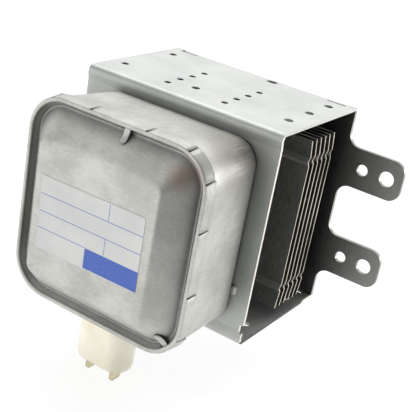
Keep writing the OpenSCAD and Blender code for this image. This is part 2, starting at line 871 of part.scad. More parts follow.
module filter_box() {
    color(tin_steel) {
        difference() {
            union() {
                box_body(0);
                box_collar(0, y_edge, y_collar);
            }
            box_body(box_t);
            box_collar(box_t, y_edge - cut_over, y_collar);
            rod_y(neck_hole_d, y_wall - floor_r - cut_over, y_wall + cut_over);
            at_box_rivets() rod_y(rivet_d + 2 * fit, y_wall - box_t - cut_over, y_wall + cut_over);
            plug(slip, z_seat - flange_t, z_plug);
            at_capacitor_rivets() cylinder(d = rivet_d + 2 * fit, h = 4 * box_t, center = true);
        }
        at_hold_tongues() hold_tongue(hold_w);
    }
}

// Outline of the cover, inset all round
module cover_outline(inset) {
    round_rect(cover_w - 2 * inset, cover_h - 2 * inset, cover_r - inset);
}

module cover_slab(inset, y) {
    at_box() along_y(y - fit, y) cover_outline(inset, $fn = hull_fn);
}

// Raised panel with sloping sides, inset by the sheet for its inside
module panel_body(inset) {
    foot = panel_foot + inset;
    top = y_panel + inset + fit;
    hull() {
        cover_slab(foot, y_valley + cover_t + (inset > 0 ? fit : 0));
        cover_slab(foot, y_valley);
        for (step = [0, 0.5, 1]) {
            grow = 2 * (step * edge_grow - inset);
            box_slab(panel_w + grow, panel_h + grow, panel_r, top + step * step * edge_grow);
        }
    }
}

// Rim folded over the mouth of the box, with the skirt outside
module cover_rim() {
    back = y_rim + skirt_len;
    difference() {
        union() {
            hull() {
                cover_slab(rim_edge, y_rim + fit);
                cover_slab(0, y_rim + rim_edge);
            }
            at_box() along_y(y_rim + rim_edge - fit, back) cover_outline(0);
        }
        at_box() along_y(y_rim - cut_over, back) cover_outline(rim_w);
        at_box() along_y(y_rim + cover_t, back + cut_over) cover_outline(cover_t);
    }
}

// Valley inside the rim, from its leaning outer side to its floor
module cover_valley() {
    difference() {
        hull() {
            cover_slab(rim_w - cover_t, y_rim + fit);
            cover_slab(rim_w - cover_t + valley_lean, y_valley + cover_t);
        }
        hull() {
            cover_slab(rim_w, y_rim + fit);
            cover_slab(rim_w + valley_lean, y_valley);
        }
        at_box() along_y(y_rim - cut_over, y_rim + fit) cover_outline(rim_w);
    }
}

// Slits that part the skirt into spring segments
module skirt_slits() {
    at_box() along_y(y_rim + 2 * cover_t, y_rim + skirt_len + cut_over) intersection() {
        difference() {
            cover_outline(-cut_over);
            cover_outline(cover_t + slip / 2);
        }
        for (turn = [0 : 90 : 270], side = [-1, 1], at = [slit_in, slit_out])
            rotate(turn) translate([side * at - slit_w / 2, 0]) square([slit_w, cover_h]);
    }
}

// Slot in the valley's outer side that a holding tongue comes through
module tongue_slot() {
    w = hold_w + 2 * slip;
    h = box_t + 2 * slip;
    z = box_z + cover_h / 2 - panel_foot;
    translate([box_x - w / 2, y_edge - slip, z])
        cube([w, h, valley_lean + valley_w + cover_t + slip]);
}

module filter_box_cover() {
    color(tin_steel) difference() {
        union() {
            cover_rim();
            cover_valley();
            panel_body(0);
        }
        panel_body(cover_t);
        skirt_slits();
        at_hold_tongues() tongue_slot();
    }
}

module box_rivets() {
    color(tin_steel) at_box_rivets() turned([
        [0, y_wall - box_t - rivet_head_h], [rivet_head_d / 2, y_wall - box_t - rivet_head_h],
        [rivet_head_d / 2, y_wall - box_t], [rivet_d / 2, y_wall - box_t],
        [rivet_d / 2, y_wall_in], [rivet_head_d / 2, y_wall_in],
        [rivet_head_d / 2, y_wall_in + rivet_head_h], [0, y_wall_in + rivet_head_h]
    ]);
}

// Half turn about an upright axis, from the back of the coil to its front
function choke_turn(s, i, steps) =
    let (a = 90 - 360 * choke_turns * i / steps)
    [s * (choke_x + choke_d / 2 * cos(a)), y_choke + choke_d / 2 * sin(a),
        choke_z0 + (choke_z1 - choke_z0) * i / steps];

// Wire of a choke: from the capacitor's rod, up the coil, to the filament terminal
function choke_path(s) = let (
    steps = choke_turns * turn_steps,
    rod_x = capacitor_x + s * (blade_gap / 2 + rod_d / 2 + fit),
    back = y_choke + choke_d / 2,
    front = y_choke - choke_d / 2,
    near_x = choke_x - choke_d / 3,
    mid_x = choke_x - 2 * choke_d / 3,
    far_x = choke_x - choke_d,
    y_end = y_stem1 - terminal_t - choke_wire / 2 - fit
) concat(
    [[rod_x, y_capacitor, choke_z0], [rod_x + s * choke_wire, y_capacitor, choke_z0],
        [s * far_x, (y_capacitor + back) / 2, choke_z0],
        [s * mid_x, back - choke_wire, choke_z0], [s * near_x, back, choke_z0]],
    [for (i = [0 : steps]) choke_turn(s, i, steps)],
    [[s * mid_x, front - choke_wire / 4, choke_z1], [s * far_x, front - choke_wire, choke_z1],
        [s * shell_d / 2, y_end, choke_z1], [s * lead_gap / 2, y_end, choke_z1]]
);

module choke_coil(s) {
    color(copper) wire(choke_path(s), choke_wire, 6, [0, 0, 1]);
}

module choke_core(s) {
    color(ferrite) translate([s * choke_x, y_choke, (choke_z0 + choke_z1) / 2])
        cylinder(d = core_d, h = core_len, center = true);
}

module at_capacitor(z) {
    translate([capacitor_x, y_capacitor, z]) children();
}

// Frame of the box's lower wall, at the capacitor
module on_seat() {
    at_capacitor(z_seat) rotate([draft, 0, 0]) children();
}

module at_capacitor_rivets() {
    on_seat() for (s = [-1, 1]) translate([s * (housing_w / 2 + flange_margin), 0, 0]) children();
}

// Neck of the housing that passes through the wall
module plug(grow, z0, z1) {
    at_capacitor(z0) linear_extrude(z1 - z0)
        stadium(housing_w - 2 * plug_inset + 2 * grow, housing_d - 2 * plug_inset + 2 * grow);
}

module at_blades() {
    for (s = [-1, 1]) at_capacitor(0) translate([s * blade_gap / 2, 0, 0]) children();
}

module rod_bores() {
    at_blades() translate([0, 0, blade_grip - housing_low - fit])
        cylinder(d = rod_d + 2 * fit, h = housing_low);
}

module capacitor_housing() {
    rise = [for (a = [0 : 30 : 90]) [housing_edge * (1 - sin(a)), housing_edge * (1 - cos(a))]];
    color(cream) difference() {
        union() {
            difference() {
                union() {
                    hull() for (step = rise)
                        at_capacitor(step[1] - housing_low) linear_extrude(fit)
                            stadium(housing_w - 2 * step[0], housing_d - 2 * step[0], $fn = hull_fn);
                    at_capacitor(housing_edge - housing_low)
                        linear_extrude(housing_low + z_seat + seat_over) stadium(housing_w, housing_d);
                }
                on_seat() translate([-housing_w, -housing_d, 0])
                    cube([2 * housing_w, 2 * housing_d, housing_d]);
            }
            plug(0, z_seat - seat_over, z_plug);
        }
        rod_bores();
        at_blades() translate([0, 0, blade_grip / 2 - housing_low])
            cube([blade_t + 2 * fit, blade_w + 2 * fit, blade_grip + 2 * fit], center = true);
    }
}

module capacitor_flange() {
    color(tin_steel) difference() {
        on_seat() translate([0, 0, box_t]) linear_extrude(flange_t)
            round_rect(housing_w + 2 * flange_over, housing_d - plug_inset, flange_r);
        plug(slip, z_seat - seat_over, z_plug);
        at_capacitor_rivets() cylinder(d = rivet_d + 2 * fit, h = 4 * (box_t + flange_t), center = true);
    }
}

// Outline of the pieces on top of the housing's neck
module inner_outline() {
    stadium(housing_w - 2 * inner_inset, housing_d - 2 * inner_inset);
}

module capacitor_ceramic() {
    color(alumina) difference() {
        at_capacitor(z_plug) linear_extrude(ceramic_h) inner_outline();
        rod_bores();
    }
}

module capacitor_inner_case() {
    color(cream) difference() {
        at_capacitor(z_case) linear_extrude(inner_case_h) inner_outline();
        rod_bores();
    }
}

// Push-on blade with bevelled tip, and the rod that carries it through the capacitor
module terminal_blade(s) {
    half = blade_w / 2;
    tip = -housing_low - blade_len;
    top = blade_grip - housing_low;
    bevel = 1.2;
    color(brassy) at_capacitor(0) translate([s * blade_gap / 2, 0, 0]) {
        along_x(blade_t) polygon([
            [bevel - half, tip], [half - bevel, tip], [half, tip + bevel], [half, top],
            [-half, top], [-half, tip + bevel]
        ]);
        translate([0, 0, top - fit]) cylinder(d = rod_d, h = z_rod_top - top + fit);
    }
}

module capacitor_rivets() {
    r = rivet_d / 2;
    head = rivet_head_d / 2;
    top = box_t + flange_t;
    color(tin_steel) at_capacitor_rivets() rotate_extrude() polygon([
        [0, -rivet_head_h], [head, -rivet_head_h], [head, 0], [r, 0], [r, top], [head, top],
        [head, top + rivet_head_h], [0, top + rivet_head_h]
    ]);
}

yoke_frame();
mounting_plate();
for (i = [1 : fin_count])
    cooling_fin(i);
ring_magnet(y_wall_in, anode_y0 - shell_t);  // filter_side_magnet
ring_magnet(anode_y1 + shell_t, y_plate_in);  // antenna_side_magnet
anode_cylinder();
for (i = [1 : vane_count])
    anode_vane(i);
for (e = [0, 1]) {
    strap_ring(0, e);
    strap_ring(1, e);
}
pole_piece(0);  // antenna_side_pole_piece
pole_piece(1);  // filter_side_pole_piece
seal_shell(0, antenna_base);  // antenna_side_shell
seal_shell(1, y_stem0);  // filter_side_shell
cathode_filament();
upper_end_hat();
lower_end_hat();
centre_lead();
side_lead();
stem_insulator();
filament_terminal(-1);  // filament_terminal_1
filament_terminal(1);  // filament_terminal_2
antenna_insulator();
antenna_lead();
exhaust_tube();
antenna_cap();
rf_gasket();
filter_box();
filter_box_cover();
box_rivets();
choke_coil(-1);  // choke_coil_1
choke_coil(1);  // choke_coil_2
choke_core(-1);  // choke_core_1
choke_core(1);  // choke_core_2
capacitor_housing();
capacitor_flange();
capacitor_ceramic();
capacitor_inner_case();
terminal_blade(-1);  // terminal_blade_1
terminal_blade(1);  // terminal_blade_2
capacitor_rivets();
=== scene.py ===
"""Looks of the magnetron: smooth pressed sheet, plated and drawn metal, knitted gasket and a plain label.

Lengths in this file are millimetres until a mesh is made, and the frame is the CAD's own.
"""
import math

import bmesh
import bpy
from mathutils import Matrix, Vector


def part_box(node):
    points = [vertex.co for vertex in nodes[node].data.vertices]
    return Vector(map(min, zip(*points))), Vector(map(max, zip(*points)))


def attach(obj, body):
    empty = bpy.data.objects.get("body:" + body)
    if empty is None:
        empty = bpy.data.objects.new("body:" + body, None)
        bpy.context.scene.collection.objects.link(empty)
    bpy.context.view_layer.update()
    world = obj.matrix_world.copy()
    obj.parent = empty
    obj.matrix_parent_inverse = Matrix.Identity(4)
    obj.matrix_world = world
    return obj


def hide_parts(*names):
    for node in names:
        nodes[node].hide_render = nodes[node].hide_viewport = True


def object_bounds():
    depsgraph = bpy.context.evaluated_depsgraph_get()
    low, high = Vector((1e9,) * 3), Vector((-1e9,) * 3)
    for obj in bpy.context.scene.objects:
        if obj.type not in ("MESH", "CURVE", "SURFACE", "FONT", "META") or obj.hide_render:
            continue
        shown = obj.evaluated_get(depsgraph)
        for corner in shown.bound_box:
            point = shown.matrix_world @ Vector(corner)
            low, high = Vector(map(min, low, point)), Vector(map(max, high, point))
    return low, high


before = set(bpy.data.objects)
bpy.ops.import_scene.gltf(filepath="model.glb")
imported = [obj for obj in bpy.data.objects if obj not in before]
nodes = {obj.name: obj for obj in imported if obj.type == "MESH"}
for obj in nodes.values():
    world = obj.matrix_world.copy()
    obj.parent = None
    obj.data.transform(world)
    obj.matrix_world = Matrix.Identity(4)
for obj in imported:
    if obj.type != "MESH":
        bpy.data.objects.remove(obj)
cad_low, cad_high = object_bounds()
MM = 0.001


def node_box(name):
    low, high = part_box(name)
    return low / MM, high / MM


# Places read from the solids
cover_low, cover_high = node_box("filter_box_cover")
gasket_low, gasket_high = node_box("rf_gasket")
COVER_X = (cover_low.x + cover_high.x) / 2
COVER_Z = (cover_low.z + cover_high.z) / 2
COVER_W = cover_high.x - cover_low.x
COVER_H = cover_high.z - cover_low.z
Y_PANEL = cover_low.y
Y_SKIRT = cover_high.y
Y_FLOOR = node_box("filter_box")[1].y

# Cover: sizes that the solid is drawn with
COVER_R = 13.5
SHEET = 0.45
PANEL_RISE = 6.9
Y_RIM = Y_PANEL + PANEL_RISE
RIM_W = 1.7
RIM_SIDE = COVER_X + COVER_W / 2 - RIM_W / 2
VALLEY_LEAN = 1.3
VALLEY_W = 0.5
VALLEY_D = 2.5
PANEL_W, PANEL_H, PANEL_R = 48.0, 47.2, 3.0
EDGE_R = 2.0
SLIT_IN, SLIT_OUT, SLIT_HALF = 11.0, 27.0, 0.35

# Cover: rows of the pressing, from the skirt's edge inwards
SKIRT_STEPS = (0.0, 1.2, 2.4)
SKIRT_TOP = 1.4
SKIRT_ROWS = len(SKIRT_STEPS) + 1
RIM_ROLL, RIM_STEPS = 0.7, 8
# Each valley row is (inset from the rim, depth behind the rim's top)
VALLEY_ROWS = ((0.12, 0.95), (VALLEY_LEAN / 2, 1.7), (VALLEY_LEAN - 0.1, VALLEY_D - 0.25),
               (VALLEY_LEAN + 0.05, VALLEY_D - 0.06), (VALLEY_LEAN + VALLEY_W / 2, VALLEY_D),
               (VALLEY_LEAN + VALLEY_W - 0.05, VALLEY_D - 0.06))
SLOPE_SHARES = (0.03, 0.08, 0.2, 0.4, 0.6, 0.8, 1.0)
SLOPE_LEAST_R, PANEL_LEAST_R = 1.5, 0.8
EDGE_STEPS = 8
PANEL_INSETS = (1.2, 2.4, 3.6, 4.8, 6.0)
PANEL_SHRINKS = (0.75, 0.45, 0.15)
COVER_SIDE_STEPS, COVER_CORNER_STEPS = 7, 12
# Rows of faces that a slit and a holding slot cut through
SLIT_ROWS = range(6)
SLOT_ROWS = (13, 14)

# Cover: how the pressing departs from a true one
SOFT_EDGE_R, SOFT_START, SOFT_BLEND = 13.0, 1.0, 9.0
SPREAD, SPREAD_LOW_LEFT = 0.3, 1.0
SPREAD_FROM, SPREAD_SPAN = 0.3, 0.2
SLIT_CLOSE, LIP_LIFT, OTHER_LIP = 0.42, 0.3, -0.05

# Holding tongues: place, width and slot, then the curve from inside the rim to the panel's slope
HOLD_X, HOLD_W, HOLD_SLOT = 3.4, 2.2, 3.4
HOLD_INSETS, HOLD_DEPTH, HOLD_REACH, HOLD_LIFT, HOLD_STEPS = (1.3, 3.9, 6.2), 1.25, 2.7, 0.5, 12
TIP_LEAST = 0.3

# Filter box
BOX_T = 0.6
BOX_GAP = 0.55
BOX_W, BOX_H, BOX_R = COVER_W - 2 * BOX_GAP, COVER_H - 2 * BOX_GAP, COVER_R - BOX_GAP
BOX_BASE_W, BOX_BASE_H, BOX_BASE_R = 65.6, 67.6, 9.0
BOX_DROP = 1.0
BOX_BULGE, BOX_STEPS = 0.012, 12
BOX_SIDE_STEPS, BOX_CORNER_STEPS = 8, 14
COLLAR_LEN, COLLAR_MID, COLLAR_BEND = 6.0, 3.0, 0.8
FLOOR_R, FLOOR_STEPS = 1.6, 6
NECK_HOLE_R = 9.8

# Knitted gasket
GASKET_X, GASKET_Z = (gasket_low.x + gasket_high.x) / 2, (gasket_low.z + gasket_high.z) / 2
GASKET_Y = (gasket_low.y + gasket_high.y) / 2
GASKET_OUT, GASKET_IN = (gasket_high.x - gasket_low.x) / 2, 8.8
BAND = (GASKET_OUT - GASKET_IN) / 2
HALF_T = (gasket_high.y - gasket_low.y) / 2
SECTION_POWER = 0.6
WIRE_R, WIRE_COUNT, WIRE_STEPS, WIRE_SIDES, WIRE_LEAD = 0.2, 44, 48, 5, 5
WIRE_START, WEAVE = 0.03, 0.7
CORE_TURNS, CORE_ROLLS, CORE_INSET = 72, 20, 0.75

# Label: its sheet and its place on the panel
LABEL_W, LABEL_H, LABEL_R, LABEL_T = 41.6, 25.6, 0.8, 0.12
LABEL_X, LABEL_Z, LABEL_SINK = 0.1, 0.3, 0.02
LABEL_TILT = math.radians(0.8)
LABEL_STEPS = 6
# Its ink, from its middle: rules across as (x0, x1, z), rules up as (x, z0, z1), and all as (x0, z0, x1, z1)
INK_SOFT = 0.05
HALF_LINE = 0.11
RULES_ACROSS = ((-20.6, 20.7, 6.55), (-20.6, 20.7, 0.5), (-20.6, -0.6, -5.45))
RULES_UP = ((7.2, 6.6, 12.4), (6.9, -5.2, 0.5))
INK = [(x0, z - HALF_LINE, x1, z + HALF_LINE) for x0, x1, z in RULES_ACROSS]
INK += [(x - HALF_LINE, z0, x + HALF_LINE, z1) for x, z0, z1 in RULES_UP]
BLUE_FIELD = (-0.6, -12.5, 20.8, -5.5)
INK.append(BLUE_FIELD)

# Smooth shading joins faces that meet at less than these angles, in degrees
SOFT_SHEET, SOFT_WIRE, SOFT_STRIP = 50, 80, 35


# Mesh helpers
def new_piece(name, bm, material, replaced=(), smooth_angle=SOFT_STRIP):
    """Turns a bmesh in millimetres into a piece that rides on the part."""
    bmesh.ops.recalc_face_normals(bm, faces=bm.faces)
    mesh = bpy.data.meshes.new(name)
    bm.to_mesh(mesh)
    bm.free()
    mesh.transform(Matrix.Scale(MM, 4))
    piece = bpy.data.objects.new(name, mesh)
    bpy.context.scene.collection.objects.link(piece)
    mesh.materials.append(material)
    mesh.shade_smooth()
    mesh.set_sharp_from_angle(angle=math.radians(smooth_angle))
    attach(piece, "root")
    if replaced:
        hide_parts(*replaced)
    return piece


def thicken(piece, thickness):
    """Gives a skin its sheet thickness, inwards."""
    mod = piece.modifiers.new("sheet", "SOLIDIFY")
    mod.thickness = thickness * MM
    mod.offset = -1
    mod.use_even_offset = True


def strip_faces(bm, ring_a, ring_b):
    """Faces between two closed rings of the same count."""
    n = len(ring_a)
    for j in range(n):
        k = (j + 1) % n
        bm.faces.new((ring_a[j], ring_a[k], ring_b[k], ring_b[j]))


def tube(bm, rings):
    """Closed tube through a list of rings."""
    for ring_a, ring_b in zip(rings, rings[1:]):
        strip_faces(bm, ring_a, ring_b)
    bm.faces.new(rings[0])
    bm.faces.new(rings[-1])


def direction(line, i):
    """Unit vector along a line of points at one of them."""
    return (line[min(i + 1, len(line) - 1)] - line[max(i - 1, 0)]).normalized()


GAP_MARGIN = {"up": 0.04, "corner": 2.0, "down": 0.04}


def columns(side_steps, corner_steps, gaps=()):
    """Places round a rounded rectangle, one quarter turn after another, as (turn, kind, at).

    A gap is (turn, kind, low, high): a column stands at low and at high, and none between or close beside.
    """
    found = []
    for turn in range(4):
        groups = {
            "up": [i / side_steps for i in range(side_steps)],
            "corner": [90 * i / corner_steps for i in range(corner_steps)],
            "down": [1 - i / side_steps for i in range(side_steps)],
        }
        for gap_turn, kind, low, high in gaps:
            if gap_turn == turn:
                margin = GAP_MARGIN[kind]
                clear = [a for a in groups[kind] if not low - margin < a < high + margin]
                groups[kind] = clear + [low, high]
        found += [(turn, "up", a) for a in sorted(groups["up"])]
        found += [(turn, "corner", a) for a in sorted(groups["corner"])]
        found += [(turn, "down", a) for a in sorted(groups["down"], reverse=True)]
    return found


def gap_faces(cols, gaps):
    """Numbers of the columns whose face to the next column fills a gap."""
    found = set()
    for j, (turn, kind, at) in enumerate(cols):
        after = cols[(j + 1) % len(cols)]
        for gap in gaps:
            if (turn, kind) == gap[:2] == after[:2] and {at, after[2]} == set(gap[2:]):
                found.add(j)
    return found


def slit_gaps():
    """One slit in each half side and two in each corner."""
    found = []
    for turn in range(4):
        first, second = COVER_H / 2 - COVER_R, COVER_W / 2 - COVER_R
        if turn % 2:
            first, second = second, first
        found.append((turn, "up", (SLIT_IN - SLIT_HALF) / first, (SLIT_IN + SLIT_HALF) / first))
        found.append((turn, "down", (SLIT_IN - SLIT_HALF) / second, (SLIT_IN + SLIT_HALF) / second))
        found.append((turn, "corner", *(math.degrees(math.asin((SLIT_OUT + e - first) / COVER_R))
                                        for e in (-SLIT_HALF, SLIT_HALF))))
        found.append((turn, "corner", *(math.degrees(math.acos((SLIT_OUT + e - second) / COVER_R))
                                        for e in (SLIT_HALF, -SLIT_HALF))))
    return found


def loop_point(column, w, h, r):
    """Point (x, z) of a rounded rectangle at one column."""
    turn, kind, at = column
    half = (w / 2, h / 2) if turn % 2 == 0 else (h / 2, w / 2)
    if kind == "up":
        x, z = half[0], at * (half[1] - r)
    elif kind == "corner":
        a = math.radians(at)
        x, z = half[0] - r + r * math.cos(a), half[1] - r + r * math.sin(a)
    else:
        x, z = at * (half[0] - r), half[1]
    for _ in range(turn):
        x, z = -z, x
    return x, z


def loft(bm, rows, cols, centre, skip=None, shift=None):
    """Skin through rows of (w, h, r, y, drop). skip(row, column) leaves a face out. Returns the rings."""
    rings = []
    for i, (w, h, r, y, drop) in enumerate(rows):
        ring = []
        for j, c in enumerate(cols):
            x, z = loop_point(c, w, h, r)
            p = Vector((centre[0] + x, y, centre[1] + z - drop))
            if shift:
                p += shift(i, j, x, z)
            ring.append(bm.verts.new(p))
        rings.append(ring)
    n = len(cols)
    for i in range(len(rows) - 1):
        for j in range(n):
            if skip and skip(i, j):
                continue
            k = (j + 1) % n
            bm.faces.new((rings[i][j], rings[i][k], rings[i + 1][k], rings[i + 1][j]))
    return rings


# Materials
class Tree:
    """Short hand for a node tree: most methods add nodes and give back an output."""

    def __init__(self, name):
        self.material = bpy.data.materials.new(name)
        self.material.use_nodes = True
        self.tree = self.material.node_tree
        self.tree.nodes.clear()
        self.out = self.tree.nodes.new("ShaderNodeOutputMaterial")
        self.shader = self.tree.nodes.new("ShaderNodeBsdfPrincipled")
        self.tree.links.new(self.shader.outputs[0], self.out.inputs[0])
        coords = self.tree.nodes.new("ShaderNodeTexCoord")
        scale = self.tree.nodes.new("ShaderNodeVectorMath")
        scale.operation = "SCALE"
        scale.inputs["Scale"].default_value = 1 / MM
        self.tree.links.new(coords.outputs["Object"], scale.inputs[0])
        self.place = scale.outputs[0]

    def put(self, socket, value):
        if isinstance(value, bpy.types.NodeSocket):
            self.tree.links.new(value, socket)
        else:
            socket.default_value = value

    def set(self, **values):
        for key, value in values.items():
            self.put(self.shader.inputs[key.replace("_", " ").title().replace("Ior", "IOR")], value)
        return self

    def stretch(self, x=1, y=1, z=1):
        node = self.tree.nodes.new("ShaderNodeVectorMath")
        node.operation = "MULTIPLY"
        self.put(node.inputs[0], self.place)
        node.inputs[1].default_value = (x, y, z)
        return node.outputs[0]

    def noise(self, scale, detail=3.0, rough=0.55, place=None):
        node = self.tree.nodes.new("ShaderNodeTexNoise")
        self.put(node.inputs["Vector"], place or self.place)
        node.inputs["Scale"].default_value = scale
        node.inputs["Detail"].default_value = detail
        node.inputs["Roughness"].default_value = rough
        return node.outputs["Fac"]

    def distance(self, centre):
        node = self.tree.nodes.new("ShaderNodeVectorMath")
        node.operation = "DISTANCE"
        self.put(node.inputs[0], self.place)
        node.inputs[1].default_value = centre
        return node.outputs["Value"]

    def math(self, kind, a, b=0.0):
        node = self.tree.nodes.new("ShaderNodeMath")
        node.operation = kind
        self.put(node.inputs[0], a)
        self.put(node.inputs[1], b)
        return node.outputs[0]

    def times(self, a, b):
        return self.math("MULTIPLY", a, b)

    def blend(self, a, share_a, b, share_b):
        """Sum of two values by their shares."""
        return self.math("ADD", self.times(a, share_a), self.times(b, share_b))

    def ramp(self, value, low, high, to_low=0.0, to_high=1.0):
        node = self.tree.nodes.new("ShaderNodeMapRange")
        node.interpolation_type = "SMOOTHSTEP"
        self.put(node.inputs["Value"], value)
        ends = {"From Min": low, "From Max": high, "To Min": to_low, "To Max": to_high}
        for key, number in ends.items():
            node.inputs[key].default_value = number
        return node.outputs[0]

    def level(self, noise, low, high):
        """Value from low to high over the usual range of a noise."""
        return self.ramp(noise, 0.3, 0.7, low, high)

    def mix(self, share, a, b):
        node = self.tree.nodes.new("ShaderNodeMix")
        node.data_type = "RGBA"
        self.put(node.inputs["Factor"], share)
        self.put(node.inputs["A"], a)
        self.put(node.inputs["B"], b)
        return node.outputs["Result"]

    def part(self, vector, axis):
        node = self.tree.nodes.new("ShaderNodeSeparateXYZ")
        self.put(node.inputs[0], vector)
        return node.outputs[axis]

    def normal(self, smooth=False):
        return self.tree.nodes.new("ShaderNodeNewGeometry").outputs["Normal" if smooth else "True Normal"]

    def at(self, axis):
        """Place along one axis in millimetres."""
        return self.part(self.place, axis)

    def facing(self, axis):
        """How far a face is turned to one axis, either way."""
        return self.math("ABSOLUTE", self.part(self.normal(), axis))

    def crevice(self, reach, dark, clear):
        """1 where the surface is closed in, down to 0 where it is open."""
        node = self.tree.nodes.new("ShaderNodeAmbientOcclusion")
        node.samples = 6
        node.inputs["Distance"].default_value = reach * MM
        return self.ramp(node.outputs["AO"], dark, clear, 1.0, 0.0)

    def edge(self, radius):
        """Nearly 1 on sharp outer edges, from how far a rounded normal leans from the flat one."""
        bevel = self.tree.nodes.new("ShaderNodeBevel")
        bevel.samples = 4
        bevel.inputs["Radius"].default_value = radius * MM
        dot = self.tree.nodes.new("ShaderNodeVectorMath")
        dot.operation = "DOT_PRODUCT"
        self.put(dot.inputs[0], bevel.outputs[0])
        self.put(dot.inputs[1], self.normal())
        return self.ramp(dot.outputs["Value"], 0.995, 0.85)

    def bump(self, height, depth):
        node = self.tree.nodes.new("ShaderNodeBump")
        node.inputs["Strength"].default_value = 1.0
        node.inputs["Distance"].default_value = depth * MM
        self.put(node.inputs["Height"], height)
        self.put(self.shader.inputs["Normal"], node.outputs[0])
        return self


def rgb(r, g, b):
    """Linear colour from a screen colour in 0 to 255."""
    def lin(v):
        v /= 255
        return v / 12.92 if v <= 0.04045 else ((v + 0.055) / 1.055) ** 2.4
    return lin(r), lin(g), lin(b), 1.0


LIGHT_TIN, DARK_TIN, SIDE_SHADE_TIN = rgb(206, 206, 200), rgb(180, 180, 174), rgb(92, 95, 89)
# Painted shade for closed-in places
CREVICE_SHADE = (0.02, 0.02, 0.02, 1)
# Soft patches of other colour: a darker brown one on the box's upper right corner, and a painted warm
# reflection on the cover's upper right mitre ridge
BOX_TINTS = [((35.0, -62.0, 33.0), 26.0, rgb(104, 98, 87), 0.9)]
COVER_REFLECTION_TINTS = [((28.5, -90.0, 28.5), 8.0, rgb(160, 124, 96), 0.8)]
# Where the sides of the pressing take painted shade: up the right, and to the left of the middle
SIDE_SHADE_UPWARDS, SIDE_SHADE_LEFTWARDS, SIDE_SHADE_END = (-26.0, 18.0), (0.0, -10.0), 0.8


def plated(name, light, dark, metal, rough, grain=(1, 1, 1), grain_scale=1.6, grain_depth=0.012,
           crevice=3.0, shade=0.35, tints=(), shaded_sides=0.0):
    """Plated or drawn metal: clouded tone, grain along one direction, and painted shade in crevices.

    A tint is (centre, reach, colour, share): a soft patch of other colour. Faces turned to the left, and to
    the right higher up, can take painted shade by the share shaded_sides.
    """
    t = Tree(name)
    cloud = t.noise(0.07, 4, 0.6)
    streak = t.noise(grain_scale, 4, 0.65, place=t.stretch(*grain))
    speck = t.noise(3.5, 2, 0.5)
    colour = t.mix(t.ramp(t.blend(cloud, 0.6, streak, 0.4), 0.36, 0.64), dark, light)
    # Soft patches of other colour; the cover's is a painted reflection
    for centre, reach, tint, most in tints:
        away = t.ramp(t.distance(centre), reach, 0.0, 0.0, most)
        colour = t.mix(t.times(away, t.ramp(streak, 0.3, 0.6, 0.6, 1.0)), colour, tint)
    if shaded_sides:
        # Painted shade on faces turned sideways, higher up and left of the middle
        turned = t.ramp(t.math("ABSOLUTE", t.part(t.normal(smooth=True), "X")), 0.2, 0.65)
        across = t.at("X")
        high = t.times(t.ramp(t.at("Z"), *SIDE_SHADE_UPWARDS), t.ramp(across, RIM_SIDE, RIM_SIDE - SIDE_SHADE_END))
        where = t.math("MAXIMUM", high, t.ramp(across, *SIDE_SHADE_LEFTWARDS))
        colour = t.mix(t.times(t.times(turned, where), shaded_sides), colour, SIDE_SHADE_TIN)
    # Painted shade, near black where the surface is closed in
    colour = t.mix(t.times(t.crevice(crevice, 0.25, 0.95), shade), colour, CREVICE_SHADE)
    t.set(base_color=colour, metallic=metal, roughness=t.level(t.blend(streak, 0.6, speck, 0.4), *rough))
    return t.bump(t.math("ADD", streak, t.times(speck, 0.35)), grain_depth).material


# The yoke: heights between which its top wall begins, and ranges over which its painted shade changes
YOKE_INSIDE, YOKE_SHEET, YOKE_WALL = 37.5, 37.7, 37.9
BESIDE_BOX, LOW_ON_WALL, OFF_THE_PLATE = (28.0, 38.0), (-12.0, -32.0), (-7.0, -9.5)


def yoke_steel():
    t = Tree("yoke_zinc")
    cloud = t.noise(0.05, 4, 0.6)
    fine = t.noise(2.2, 3, 0.6, place=t.stretch(1, 0.25, 1))
    tone = t.blend(cloud, 0.65, fine, 0.35)
    colour = t.mix(t.ramp(tone, 0.35, 0.65), rgb(190, 193, 190), rgb(204, 206, 203))
    # Painted shade in closed-in places: darkest on the front wall beside the box, and less so lower down
    beside = t.ramp(t.math("ABSOLUTE", t.at("X")), *BESIDE_BOX, 0.5, 0.95)
    low_wall = t.ramp(t.at("Z"), *LOW_ON_WALL, 1.0, 0.15)
    front = t.ramp(t.part(t.normal(), "Y"), -0.3, -0.8)
    share = t.mix(front, (0.55, 0.55, 0.55, 1), t.times(beside, low_wall))
    colour = t.mix(t.times(t.crevice(18.0, 0.3, 0.97), share), colour, rgb(46, 54, 51))
    # Sheared side edges: bare cut metal with a painted highlight, pale on the front and top walls, and
    # painted shade under the part except near the plate
    low = t.ramp(t.at("Z"), -YOKE_INSIDE, -YOKE_WALL)
    plain = t.ramp(t.at("Y"), *OFF_THE_PLATE)
    top = t.ramp(t.at("Z"), YOKE_INSIDE, YOKE_WALL)
    sheared_lit_and_shaded = t.mix(top, rgb(232, 229, 220), rgb(196, 197, 192))
    sheared_lit_and_shaded = t.mix(t.times(low, plain), sheared_lit_and_shaded, rgb(74, 76, 74))
    colour = t.mix(t.ramp(t.facing("X"), 0.8, 0.95), colour, sheared_lit_and_shaded)
    # Holes punched in the top and bottom walls: painted shade makes their sides dark
    in_sheet = t.ramp(t.math("ABSOLUTE", t.at("Z")), YOKE_SHEET, YOKE_WALL)
    upright = t.times(in_sheet, t.ramp(t.facing("Z"), 0.5, 0.2))
    punched = t.times(upright, t.crevice(2.5, 0.6, 0.9))
    colour = t.mix(t.times(punched, 0.95), colour, rgb(14, 15, 15))
    t.set(base_color=colour, metallic=0.65, roughness=t.level(fine, 0.46, 0.58))
    return t.bump(fine, 0.008).material


